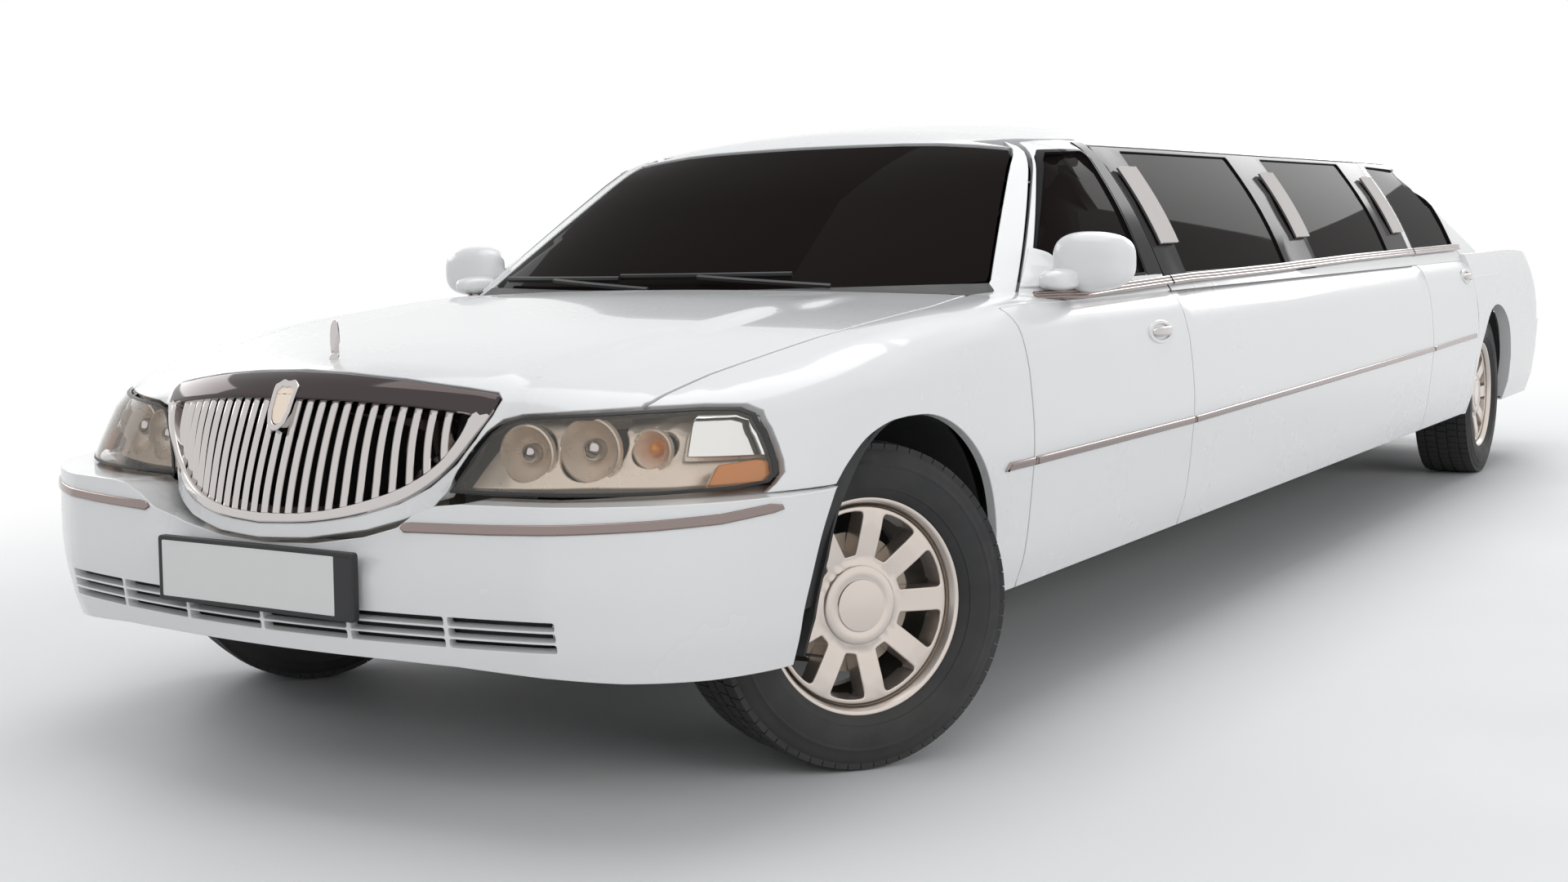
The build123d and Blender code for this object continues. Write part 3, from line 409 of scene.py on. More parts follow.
def edge_distance(points, loop):
    """How far points lie from a closed outline."""
    best = np.full(len(points), np.inf)
    for a, b in zip(loop, np.roll(loop, -1, axis=0)):
        d = b - a
        t = np.clip(((points - a) @ d) / max(d @ d, 1e-9), 0, 1)
        best = np.minimum(best, np.linalg.norm(points - a - t[:, None] * d, axis=1))
    return best


def fill(loops, step):
    """Triangles over an outline with holes. The loops' own points come first."""
    outer = loops[0]
    low, high = outer.min(0), outer.max(0)
    count = np.maximum(((high - low) / step).astype(int), 1)
    gx, gy = np.meshgrid(np.linspace(low[0], high[0], count[0] + 1), np.linspace(low[1], high[1], count[1] + 1))
    grid = np.stack([gx.ravel(), gy.ravel()], 1)
    keep = inside(grid, outer)
    for i, loop in enumerate(loops):
        if i:
            keep &= ~inside(grid, loop)
        keep &= edge_distance(grid, loop) > 0.4 * step
    edges, base = [], 0
    for loop in loops:
        n = len(loop)
        edges += [(base + i, base + (i + 1) % n) for i in range(n)]
        base += n
    points = [p for loop in loops for p in loop] + list(grid[keep])
    result = delaunay_2d_cdt([Vector(p) for p in points], edges, [], 0, 1e-5)
    if len(result[0]) != len(points):
        raise RuntimeError(f"an outline crosses itself or repeats a point: {len(points)} became {len(result[0])}")
    verts = np.array([tuple(v) for v in result[0]])
    tris = np.array([f for f in result[2] if len(f) == 3])
    middle = verts[tris].mean(1)
    good = inside(middle, outer)
    for loop in loops[1:]:
        good &= ~inside(middle, loop)
    return np.array(points), tris[good]


def unit(v):
    """Vectors at a length of one."""
    return v / np.maximum(np.linalg.norm(v, axis=-1, keepdims=True), 1e-12)


def surface_normals(view, uv, points):
    """Outward normals of a view's surface at points of that view."""
    h = 0.6
    du = view.place(uv + [h, 0]) - view.place(uv - [h, 0])
    dv = view.place(uv + [0, h]) - view.place(uv - [0, h])
    n = unit(np.cross(du, dv))
    n[np.einsum("ij,ij->i", n, view.outward(points)) < 0] *= -1
    return n


class Shell:
    """Points, normals, faces and material numbers of a mesh under construction."""

    def __init__(self):
        self.points, self.normals, self.faces, self.slots, self.count = [], [], [], [], 0

    def add(self, points, normals, faces, slot=0):
        base = self.count
        self.points.append(np.asarray(points, float).reshape(-1, 3))
        self.normals.append(np.asarray(normals, float).reshape(-1, 3))
        self.count += len(self.points[-1])
        self.faces += [tuple(int(i) + base for i in f) for f in faces]
        self.slots += [slot] * len(faces)
        return base

    def join(self, *others):
        for other in others:
            self.faces += [tuple(i + self.count for i in f) for f in other.faces]
            self.points += other.points
            self.normals += other.normals
            self.slots += other.slots
            self.count += other.count
        return self

    def mirrored(self):
        other = Shell()
        flip = np.array([-1.0, 1.0, 1.0])
        other.points = [p * flip for p in self.points]
        other.normals = [n * flip for n in self.normals]
        other.faces = [tuple(reversed(f)) for f in self.faces]
        other.slots, other.count = list(self.slots), self.count
        return other

    def turned(self, centre, axis):
        """The shell turned so that its +X lies on axis, and moved to centre."""
        a = unit(np.array(axis, float))
        matrix = np.stack([a, np.cross([0, 0, 1.0], a), [0, 0, 1.0]], 1)
        other = Shell()
        other.points = [p @ matrix.T + centre for p in self.points]
        other.normals = [n @ matrix.T for n in self.normals]
        other.faces, other.slots, other.count = list(self.faces), list(self.slots), self.count
        return other


def area(loop):
    """The area of a closed outline, positive when it runs counterclockwise."""
    return 0.5 * np.sum(loop[:, 0] * np.roll(loop[:, 1], -1) - np.roll(loop[:, 0], -1) * loop[:, 1])


def sheet(view, loops, step=55.0, edge_step=26.0, rim=2.5, depth=14.0, slot=0, back=0.0, back_slot=None):
    """A skin over an outline and holes, its edges rounded and turned in, with a back face if asked."""
    depths = [depth] * len(loops) if np.isscalar(depth) else depth
    shell = Shell()
    loops = [divided([tuple(p) for p in loop], edge_step, True) for loop in loops]
    loops = [l if (area(l) > 0) == (i == 0) else l[::-1] for i, l in enumerate(loops)]
    uv, tris = fill(loops, step)
    points = view.place(uv)
    normals = surface_normals(view, uv, points)
    a, b, c = (points[tris[:, i]] for i in range(3))
    swapped = np.einsum("ij,ij->i", np.cross(b - a, c - a), normals[tris].mean(1)) < 0
    turn = -1.0 if swapped.mean() > 0.5 else 1.0
    if turn < 0:
        tris = tris[:, ::-1]
    rings, start = [], 0
    for loop, deep in zip(loops, depths):
        ids = np.arange(start, start + len(loop))
        start += len(loop)
        p, n = points[ids].copy(), normals[ids]
        ahead, behind = unit(np.roll(p, -1, 0) - p), unit(p - np.roll(p, 1, 0))
        along = unit(ahead + behind)
        out = unit(np.cross(along, n)) * turn
        out /= np.clip(np.einsum("ij,ij->i", ahead, along), 0.6, 1)[:, None]
        points[ids] = p - out * rim
        rings.append((ids, p, n, out, deep))
    base = shell.add(points, normals, tris, slot)
    ends = []
    for ids, p, n, out, deep in rings:
        count, previous = len(ids), ids + base
        rows = []
        for degrees in (45.0, 90.0):
            t = math.radians(degrees)
            q = p - out * rim * (1 - math.sin(t)) - n * rim * (1 - math.cos(t))
            rows.append((q, unit(out * math.sin(t) + n * math.cos(t))))
        rows.append((p - n * max(deep, rim * 1.2), unit(out)))
        for q, qn in rows:
            current = np.arange(count) + shell.add(q, qn, [])
            after, following = np.roll(previous, -1), np.roll(current, -1)
            quads = list(zip(previous, current, following, after))
            if turn < 0:
                quads = [tuple(reversed(f)) for f in quads]
            shell.faces += [tuple(int(v) for v in f) for f in quads]
            shell.slots += [slot] * count
            previous = current
        ends.append((ids, rows[-1][0]))
    if back:
        behind = points - normals * back
        for ids, q in ends:
            behind[ids] = q
        shell.add(behind, -normals, [t[::-1] for t in tris], slot if back_slot is None else back_slot)
    return shell


def sweep(path, up, profile, slot=0, closed=True, capped=True):
    """A profile of (out, up) pairs carried along a path. up is each point's second direction."""
    path, up = np.asarray(path, float), np.asarray(up, float)
    tangent = unit(np.gradient(path, axis=0))
    up = unit(up - np.einsum("ij,ij->i", up, tangent)[:, None] * tangent)
    side = np.cross(tangent, up)
    profile = np.asarray(profile, float)
    m, n = len(profile), len(path)
    shell = Shell()
    spans = range(m if closed else m - 1)
    for i in spans:
        a, b = profile[i], profile[(i + 1) % m]
        normal = unit(np.array([b[1] - a[1], a[0] - b[0]]))
        rows = [path + side * q[0] + up * q[1] for q in (a, b)]
        flat = side * normal[0] + up * normal[1]
        faces = [(j, j + 1, n + j + 1, n + j) for j in range(n - 1)]
        test = np.cross(rows[0][1] - rows[0][0], rows[1][0] - rows[0][0]) @ flat[0]
        if test < 0:
            faces = [f[::-1] for f in faces]
        shell.add(np.vstack(rows), np.vstack([flat, flat]), faces, slot)
    if closed and capped:
        for j, way in ((0, -1), (n - 1, 1)):
            ring = path[j] + side[j] * profile[:, :1] + up[j] * profile[:, 1:]
            face = list(range(m))
            if np.sum(np.cross(ring, np.roll(ring, -1, 0)), axis=0) @ tangent[j] * way < 0:
                face = face[::-1]
            shell.add(ring, np.tile(tangent[j] * way, (m, 1)), [face], slot)
    return shell


def lathe(profile, count=96, slot=0, smooth=40.0):
    """A profile of (along, radius) pairs turned about +X. Corners sharper than smooth stay sharp."""
    profile = np.asarray(profile, float)
    shell = Shell()
    angle = np.arange(count) * 2 * math.pi / count
    ring = np.stack([np.zeros(count), np.cos(angle), np.sin(angle)], 1)
    step = unit(np.diff(profile, axis=0))
    flat = np.stack([-step[:, 1], step[:, 0]], 1)
    for i in range(len(step)):
        ends = []
        for j, other in ((i, i - 1), (i + 1, i + 1)):
            n = flat[i]
            if 0 <= other < len(step) and flat[i] @ flat[other] > math.cos(math.radians(smooth)):
                n = unit(flat[i] + flat[other])
            ends.append((profile[j], n))
        points = np.vstack([ring * r + [a, 0, 0] for (a, r), n in ends])
        normals = np.vstack([ring * n[1] + [n[0], 0, 0] for (a, r), n in ends])
        quads = [(k, (k + 1) % count, count + (k + 1) % count, count + k) for k in range(count)]
        test = np.cross(points[1] - points[0], points[count] - points[0]) @ normals[0]
        if abs(test) < 1e-9:
            test = np.cross(points[1] - points[0], points[count + 1] - points[1]) @ normals[count]
        shell.add(points, normals, quads if test > 0 else [q[::-1] for q in quads], slot)
    return shell


def blob(centre, half, power=2.6, rows=20, columns=32, slot=0, shape=None):
    """A rounded closed form, squarer as power grows. shape may bend its points."""
    u = np.linspace(-math.pi / 2, math.pi / 2, rows)
    v = np.arange(columns) * 2 * math.pi / columns
    soft = lambda w: np.sign(w) * np.abs(w) ** (2.0 / power)
    cu, su = soft(np.cos(u))[:, None], soft(np.sin(u))[:, None]
    points = np.stack([cu * soft(np.cos(v)), cu * soft(np.sin(v)), su * np.ones(columns)], 2).reshape(-1, 3)
    faces = []
    for i in range(rows - 1):
        for j in range(columns):
            k = (j + 1) % columns
            faces.append((i * columns + j, i * columns + k, (i + 1) * columns + k, (i + 1) * columns + j))
    points = points * half
    if shape is not None:
        points = shape(points)
    points = points + centre
    return faced(points, faces, slot)


def faced(points, faces, slot=0):
    """A shell with smooth normals worked out from its faces, which must face outwards."""
    points = np.asarray(points, float)
    normals = np.zeros_like(points)
    for f in faces:
        p = points[list(f)]
        n = np.cross(p[2] - p[0], p[-1] - p[1]) if len(f) == 4 else np.cross(p[1] - p[0], p[2] - p[0])
        for i in f:
            normals[i] += n
    shell = Shell()
    shell.add(points, unit(normals), faces, slot)
    return shell


def trace(view, points, step=26.0):
    """3-D points on a view's surface along a polyline given in that view."""
    return view.place(divided(points, step))


def outline_on(view, *runs):
    """A closed outline in a view from runs of 3-D points. Points that repeat are dropped."""
    flat = np.vstack([view.flat(np.asarray(run)) for run in runs])
    keep = [0]
    for i in range(1, len(flat)):
        if np.linalg.norm(flat[i] - flat[keep[-1]]) > 2.0:
            keep.append(i)
    while np.linalg.norm(flat[keep[-1]] - flat[keep[0]]) < 2.0:
        keep.pop()
    return flat[keep]


def piece(name, shell, materials, body, stands_for=()):
    """A mesh object from a shell and the names of its finishes, in metres, riding on a body."""
    points = np.vstack(shell.points)
    points[:, 1] += AXLE_Y
    mesh = bpy.data.meshes.new(name)
    mesh.from_pydata((points / 1000.0).tolist(), [], shell.faces)
    for material in materials:
        mesh.materials.append(finish(material))
    mesh.polygons.foreach_set("material_index", shell.slots)
    mesh.polygons.foreach_set("use_smooth", [True] * len(shell.faces))
    mesh.normals_split_custom_set_from_vertices(unit(np.vstack(shell.normals)).tolist())
    mesh.update()
    thing = bpy.data.objects.new(name, mesh)
    bpy.context.scene.collection.objects.link(thing)
    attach(thing, body)
    if stands_for:
        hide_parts(*stands_for)
    return thing


def node_group(name, inputs, outputs):
    """An empty shader group with float, colour or vector sockets. Returns it with its two end nodes."""
    tree = bpy.data.node_groups.new(name, "ShaderNodeTree")
    for label, kind, value in inputs:
        socket = tree.interface.new_socket(name=label, in_out="INPUT", socket_type="NodeSocket" + kind)
        if value is not None:
            socket.default_value = value
    for label, kind in outputs:
        tree.interface.new_socket(name=label, in_out="OUTPUT", socket_type="NodeSocket" + kind)
    return tree, tree.nodes.new("NodeGroupInput"), tree.nodes.new("NodeGroupOutput")


def mottle_group():
    """Slow and fine noise, as a roughness between two values and a mask."""
    if "surface_mottle" in bpy.data.node_groups:
        return bpy.data.node_groups["surface_mottle"]
    sockets = [("Position", "Vector", None), ("Scale", "Float", 3.0), ("Low", "Float", 0.2), ("High", "Float", 0.3)]
    tree, start, end = node_group("surface_mottle", sockets, [("Value", "Float"), ("Mask", "Float")])
    noise = tree.nodes.new("ShaderNodeTexNoise")
    noise.inputs["Detail"].default_value = 5.0
    noise.inputs["Roughness"].default_value = 0.62
    spread = tree.nodes.new("ShaderNodeMapRange")
    spread.inputs["From Min"].default_value = 0.32
    spread.inputs["From Max"].default_value = 0.68
    link = tree.links.new
    link(start.outputs["Position"], noise.inputs["Vector"])
    link(start.outputs["Scale"], noise.inputs["Scale"])
    link(noise.outputs["Fac"], spread.inputs["Value"])
    link(start.outputs["Low"], spread.inputs["To Min"])
    link(start.outputs["High"], spread.inputs["To Max"])
    link(spread.outputs["Result"], end.inputs["Value"])
    link(noise.outputs["Fac"], end.inputs["Mask"])
    return tree


def road_film_group():
    """A mask for the thin film of road dust low on the body."""
    if "road_film" in bpy.data.node_groups:
        return bpy.data.node_groups["road_film"]
    sockets = [("Position", "Vector", None), ("Height", "Float", 0.45), ("Amount", "Float", 0.3)]
    tree, start, end = node_group("road_film", sockets, [("Mask", "Float")])
    split = tree.nodes.new("ShaderNodeSeparateXYZ")
    fade = tree.nodes.new("ShaderNodeMapRange")
    fade.interpolation_type = "SMOOTHSTEP"
    noise = tree.nodes.new("ShaderNodeTexNoise")
    noise.inputs["Scale"].default_value = 9.0
    noise.inputs["Detail"].default_value = 6.0
    times, scaled = tree.nodes.new("ShaderNodeMath"), tree.nodes.new("ShaderNodeMath")
    times.operation = scaled.operation = "MULTIPLY"
    fade.inputs["From Min"].default_value = 0.0
    fade.inputs["To Min"].default_value = 1.0
    fade.inputs["To Max"].default_value = 0.0
    link = tree.links.new
    link(start.outputs["Position"], split.inputs["Vector"])
    link(start.outputs["Position"], noise.inputs["Vector"])
    link(split.outputs["Z"], fade.inputs["Value"])
    link(start.outputs["Height"], fade.inputs["From Max"])
    link(fade.outputs["Result"], times.inputs[0])
    link(noise.outputs["Fac"], times.inputs[1])
    link(times.outputs["Value"], scaled.inputs[0])
    link(start.outputs["Amount"], scaled.inputs[1])
    link(scaled.outputs["Value"], end.inputs["Mask"])
    return tree


def grain_group():
    """A fine moulded or cast grain, as a normal."""
    if "fine_grain" in bpy.data.node_groups:
        return bpy.data.node_groups["fine_grain"]
    sockets = [("Position", "Vector", None), ("Scale", "Float", 400.0)]
    sockets += [("Strength", "Float", 0.1), ("Depth", "Float", 0.0005)]
    tree, start, end = node_group("fine_grain", sockets, [("Normal", "Vector")])
    noise = tree.nodes.new("ShaderNodeTexNoise")
    noise.inputs["Detail"].default_value = 3.0
    bump = tree.nodes.new("ShaderNodeBump")
    link = tree.links.new
    link(start.outputs["Position"], noise.inputs["Vector"])
    link(start.outputs["Scale"], noise.inputs["Scale"])
    link(noise.outputs["Fac"], bump.inputs["Height"])
    link(start.outputs["Strength"], bump.inputs["Strength"])
    link(start.outputs["Depth"], bump.inputs["Distance"])
    link(bump.outputs["Normal"], end.inputs["Normal"])
    return tree


# The loaded solids bring materials named after their slots, so these have names of their own
FINISH_PREFIX = "limousine_"


# A colour is given as itself, or as the name of one of the user's colours
FINISHES = {
    "body_paint": dict(
        colour="paint", rough=(0.26, 0.28), mottle=1.2, shade=0.996, film=0.06,
        Coat_Weight=0.6, Coat_Roughness=0.03, IOR=1.45,
    ),
    "tinted_glass": dict(
        colour="glass", rough=(0.01, 0.03), mottle=1.0, shade=0.8,
        Specular_IOR_Level=0.004, IOR=1.45, Alpha=0.985,
    ),
    "wheel_silver": dict(
        colour="wheels", rough=(0.26, 0.36), mottle=5.0, shade=0.93, grain=(1500.0, 0.05),
        Metallic=0.85, Coat_Weight=0.7, Coat_Roughness=0.08,
    ),
    "floor": dict(colour="floor", rough=(0.55, 0.7), mottle=0.6, shade=0.97, grain=(60.0, 0.05)),
    "bright_chrome": dict(colour=(0.60, 0.57, 0.56), rough=(0.06, 0.11), mottle=6.0, shade=0.92, Metallic=1.0),
    "warm_chrome": dict(colour=(0.30, 0.245, 0.23), rough=(0.10, 0.16), mottle=6.0, shade=0.9, Metallic=1.0),
    "dark_chrome": dict(colour=(0.075, 0.062, 0.062), rough=(0.05, 0.09), mottle=6.0, shade=0.9, Metallic=1.0),
    "black_gloss": dict(colour=(0.012, 0.012, 0.013), rough=(0.08, 0.12), Specular_IOR_Level=0.02),
    "black_trim": dict(colour=(0.018, 0.018, 0.019), rough=(0.45, 0.6), grain=(700.0, 0.25)),
    "door_lining": dict(colour=(0.05, 0.047, 0.045), rough=(0.6, 0.75), grain=(260.0, 0.4)),
    "tyre_rubber": dict(
        colour=(0.022, 0.022, 0.023), rough=(0.55, 0.75), mottle=12.0, shade=0.75, film=0.12, grain=(500.0, 0.3),
    ),
    "wheel_barrel": dict(colour=(0.42, 0.37, 0.31), rough=(0.3, 0.5), mottle=7.0, shade=0.7, Metallic=0.9),
    "lamp_cover": dict(colour=(0.75, 0.70, 0.62), rough=(0.02, 0.05), Coat_Weight=0.3, Coat_Roughness=0.02, IOR=1.5),
    # The lamp bowls' colour is raised above the reflectors' own champagne tone. This is painted light, making up for
    # the shade under the lamp cover.
    "lamp_bowl": dict(colour=(0.96, 0.82, 0.68), rough=(0.24, 0.34), mottle=9.0, shade=0.9, Metallic=0.35),
    "bulb_shroud": dict(colour=(0.88, 0.88, 0.86), rough=(0.06, 0.12), mottle=9.0, shade=0.94, Metallic=1.0),
    "amber_lens": dict(
        colour=(0.95, 0.34, 0.04), rough=(0.10, 0.18), mottle=20.0, shade=0.85, grain=(600.0, 0.3),
        Coat_Weight=0.6, Coat_Roughness=0.03,
    ),
    "tail_lens": dict(
        colour=(0.32, 0.006, 0.008), rough=(0.06, 0.12), mottle=9.0, shade=0.8, grain=(300.0, 0.1),
        Coat_Weight=1.0, Coat_Roughness=0.02,
    ),
    "mirror_glass": dict(colour=(0.55, 0.57, 0.6), rough=(0.01, 0.03), shade=0.95, Metallic=1.0),
    "blank_plate": dict(colour=(0.74, 0.74, 0.72), rough=(0.3, 0.42), mottle=14.0, shade=0.96, Coat_Weight=0.4),
    "plate_end": dict(colour=(0.015, 0.015, 0.017), rough=(0.3, 0.4)),
    "frame_steel": dict(
        colour=(0.045, 0.045, 0.047), rough=(0.45, 0.65), mottle=6.0, shade=0.7, film=0.35, grain=(180.0, 0.3),
    ),
    "cast_parts": dict(
        colour=(0.16, 0.155, 0.15), rough=(0.5, 0.7), mottle=9.0, shade=0.7, film=0.3, grain=(220.0, 0.5), Metallic=0.6,
    ),
    "liner_plastic": dict(
        colour=(0.016, 0.016, 0.017), rough=(0.6, 0.8), mottle=6.0, shade=0.8, film=0.4, grain=(160.0, 0.5),
    ),
    "seat_leather": dict(colour=(0.045, 0.042, 0.040), rough=(0.36, 0.5), mottle=8.0, shade=0.8, grain=(240.0, 0.5)),
    "exhaust_steel": dict(colour=(0.36, 0.33, 0.30), rough=(0.28, 0.5), mottle=9.0, shade=0.6, Metallic=1.0),
}
DUST = (0.30, 0.27, 0.23)
# CAD slots whose finish has another name
CAD_FINISHES = {"chrome": "bright_chrome", "lamp_lens": "bulb_shroud", "alloy": "wheel_silver"}


def new_finish(name, colour, rough, mottle=3.0, shade=0.9, film=0.0, grain=None, **plain):
    """A procedural material: colour, a (low, high) roughness, and whatever is the same all over."""
    if isinstance(colour, str):
        colour = getattr(bpy.context.scene.limousine_colours, colour)
    material = bpy.data.materials.new(name)
    material.use_nodes = True
    nodes, link = material.node_tree.nodes, material.node_tree.links.new
    shader = nodes["Principled BSDF"]
    for label, value in plain.items():
        shader.inputs[label.replace("_", " ")].default_value = value
    place = nodes.new("ShaderNodeTexCoord")

    def effect(tree, **values):
        node = nodes.new("ShaderNodeGroup")
        node.node_tree = tree
        for label, value in values.items():
            node.inputs[label].default_value = value
        link(place.outputs["Object"], node.inputs["Position"])
        return node

    def blend(mask, low, high):
        mix = nodes.new("ShaderNodeMix")
        mix.data_type = "RGBA"
        link(mask, mix.inputs[0])
        for socket, value in ((mix.inputs[6], low), (mix.inputs[7], high)):
            if isinstance(value, tuple):
                socket.default_value = (*value, 1)
            else:
                link(value, socket)
        return mix.outputs[2]

    wear = effect(mottle_group(), Scale=mottle, Low=rough[0], High=rough[1])
    link(wear.outputs["Value"], shader.inputs["Roughness"])
    tone = blend(wear.outputs["Mask"], tuple(c * shade for c in colour), tuple(colour))
    if film:
        tone = blend(effect(road_film_group(), Amount=film).outputs["Mask"], tone, DUST)
    link(tone, shader.inputs["Base Color"])
    if grain:
        texture = effect(grain_group(), Scale=grain[0], Strength=grain[1])
        link(texture.outputs["Normal"], shader.inputs["Normal"])
    return material


def finish(name):
    """The material of that name in FINISHES, made when it is first asked for."""
    full = FINISH_PREFIX + name
    return bpy.data.materials.get(full) or new_finish(full, **FINISHES[name])


def clear_lens(name, face_alpha):
    """Turn a finish to clear plastic, nearly see-through face on and shining at a slant."""
    if FINISH_PREFIX + name in bpy.data.materials:
        return
    material = finish(name)
    nodes, link = material.node_tree.nodes, material.node_tree.links.new
    slant, spread = nodes.new("ShaderNodeFresnel"), nodes.new("ShaderNodeMapRange")
    slant.inputs["IOR"].default_value = 1.5
    for label, value in (("From Min", 0.04), ("From Max", 0.6), ("To Min", face_alpha)):
        spread.inputs[label].default_value = value
    link(slant.outputs["Fac"], spread.inputs["Value"])
    link(spread.outputs["Result"], nodes["Principled BSDF"].inputs["Alpha"])


# Outlines. Fender, doors and sides wrap over the shoulder, so they are mapped about a lengthwise axis.
SIDE_VIEW = Side(flank)
SHOULDER = dict(x0=500.0, z0=560.0)
GLASS_SIDE = Side(greenhouse)
# Stations that the nose, the bumper and the screens are traced between or about
NOSE_NEAR, NOSE_FAR, BUMPER_NEAR = -1250.0, -250.0, -1300.0
NOSE_AXIS = (620.0, 300.0)
BUMPER_AXIS = -150.0
SCREENS = {"front": (2300.0, -1.0, 300.0), "rear": (4600.0, 1.0, 6700.0)}
SCREEN_SCALE = 26.0
BELT_X = 921.0
WAIST_Z = 955.0
FRAME_TOP = 1382.0
BAND_TOP = 1366.0
DOORS = {
    "front": dict(start=570.0, end=1742.0, bottom_end=1742.0, strip=(574.0, 1738.0), belt=(900.0, 1739.0)),
    "rear": dict(start=4750.0, end=5620.0, bottom_end=5588.0, strip=(4754.0, 5553.0), belt=(4754.0, 5600.0)),
}
WINDOWS = {
    "front": rounded([(950, 1003), (1424, 1331), (1466, 1352), (1662, 1354), (1612, 1003)], (26, 20, 12, 22, 8)),
    "first": rounded([(1950, 1003), (1950, 1354), (2980, 1354), (2980, 1003)], 14),
    "second": rounded([(3360, 1003), (3360, 1354), (4400, 1354), (4400, 1003)], 14),
    "rear": rounded(
        [(4812, 1003), (4812, 1354), (5395, 1350), (5490, 1302), (5540, 1230), (5556, 1140), (5560, 1003)],
        (14, 14, 60, 50, 60, 60, 16),
    ),
}
HOOD_SIDE = [(704, -640), (720, -450), (742, -310), (764, -150), (785, 20), (796, 220), (800, 440), (788, 690)]
GRILLE = [
    (0, 886), (120, 882), (250, 871), (380, 853), (434, 843), (446, 830), (440, 800), (418, 755), (386, 706),
    (342, 662), (290, 630), (215, 606), (120, 591), (0, 585),
]
MOUTH = [
    (0, 832), (130, 830), (260, 822), (392, 806), (401, 796), (392, 762), (368, 722), (336, 690), (292, 662),
    (236, 640), (170, 622), (90, 611), (0, 608),
]
LAMP = [
    (376, 653), (394, 688), (416, 724), (444, 766), (466, 787), (499, 797), (591, 803), (694, 808), (785, 811),
    (838, 808), (862, 796), (882, 765), (897, 733), (908, 705), (913, 684), (906, 667), (868, 660), (763, 655),
    (632, 654), (506, 654),
]
# The front wheel opening's edge, from its front foot over the wheel, as station and Z
ARCH_FOOT = [(-470, 300), (-480, 400), (-465, 480), (-438, 560), (-399, 628), (-384, 645)]
ARCH_OVER = [(-380, 648), (-330, 686), (-250, 726), (-140, 749), (-50, 754)]
# The bumper's lower openings: bottom and top of each row, and the web between columns
INTAKE_ROWS = ((369.5, 386.0), (391.0, 407.5), (412.5, 429.0))
INTAKE_WEB = 9.0
# Height of the rubbing strip and of the belt moulding along the car
STRIP_LINE = np.array([(400, 600), (1740, 597), (4745, 624), (5560, 636)], float)
BELT_LINE = np.array([(890, 964), (1250, 973), (1900, 984), (2800, 990), (3800, 1002), (5600, 1012)], float)
NOSE_EDGE = [(368, 652), (347, 620), (300, 600), (238, 581), (119, 562), (0, 557)]
HANDLES = {"front": (1517.0, 853.0), "rear": (5512.0, 889.0)}


def nose(depth=0.0):
    """The nose from ahead, drawn in by depth."""
    return End(inset(upper, depth), NOSE_NEAR, NOSE_FAR)


def bumper_ahead(depth=0.0):
    """The front bumper from ahead, drawn in by depth."""
    return End(inset(bumper, depth), BUMPER_NEAR, NOSE_FAR)


def screen(depth, end="front"):
    """A screen about an upright axis and from its own end, drawn in by depth."""
    axis, way, near = SCREENS[end]
    surface = inset(greenhouse, depth)
    return Post(surface, axis, way, SCREEN_SCALE), End(surface, near, axis)


def whole(half):
    """A symmetrical outline from its left half, whose ends are put on the middle."""
    return even([(p[0] if p[0] > 1 else 0.0, p[1]) for p in half])


def belt_height(s):
    """Height of the belt moulding at a station."""
    return np.interp(s, BELT_LINE[:, 0], BELT_LINE[:, 1])


def arch_line(station, start, end, radius=ARCH_RADIUS, count=26):
    """The wheel opening's edge, between two angles up from level behind the wheel."""
    a = np.radians(np.linspace(start, end, count))
    return np.stack([station + radius * np.cos(a), TYRE_RADIUS + radius * np.sin(a)], 1)


def both(shell):
    """A left piece and its mirror image."""
    return Shell().join(shell, shell.mirrored())


def shoulder(depth=0.0):
    """The left flank and shoulder, drawn in by depth."""
    return Barrel(inset(flank, depth) if depth else flank, **SHOULDER)


def over_top(points):
    """Points along the shoulder, from rows of X and station."""
    return trace(Top(flank), points, 60.0)


def up_side(points):
    """Points up or along the left side, from rows of station and Z."""
    return trace(SIDE_VIEW, points, 40.0)


def front_fender():
    """A left front wing, from the lamp and the bonnet gap back to the door."""
    view = shoulder()
    door = up_side([(564, 300), (564, 930)])
    top = over_top([(BELT_X - 12, 566), (BELT_X - 4, 800), (BELT_X, 1000), (884, 1000), (786, 836), (784, 705)])
    gap = over_top([(x + 5, s) for x, s in reversed(HOOD_SIDE[:-1])] + [(702, -655)])
    lamp = [(704, 815), (785, 817), (842, 814), (868, 801), (889, 768)]
    lamp += [(904, 735), (915, 706), (920, 684), (914, 664), (905, 648)]
    lamp = trace(nose(), lamp, 18.0)
    low = up_side([(-560, 648), (-386, 648)])
    arch = SIDE_VIEW.place(np.vstack([smooth_line(ARCH_OVER, 4), arch_line(0.0, 88.0, -7.3)]))
    gap = gap[gap[:, 1] > lamp[0, 1] + 4.0]
    loop = outline_on(view, door, top, gap, lamp, low[1:], arch)
    return sheet(view, [loop], step=48.0, edge_step=24.0, depth=20.0, back=20.0)


def arch_fill():
    """The liner's edge behind a front wheel opening, between the wing's lip and the liner's round."""
    over = np.array(smooth_line(ARCH_FOOT[1:-1] + ARCH_OVER[1:], 3), float)
    centre = np.array([0.0, TYRE_RADIUS])
    outer = over + unit(over - centre) * 14.0
    inner = arch_line(0.0, 98.0, 172.0)
    return sheet(Side(inset(flank, 26.0)), [np.vstack([outer, inner])], step=90.0, edge_step=34.0, rim=1.0, depth=6.0)


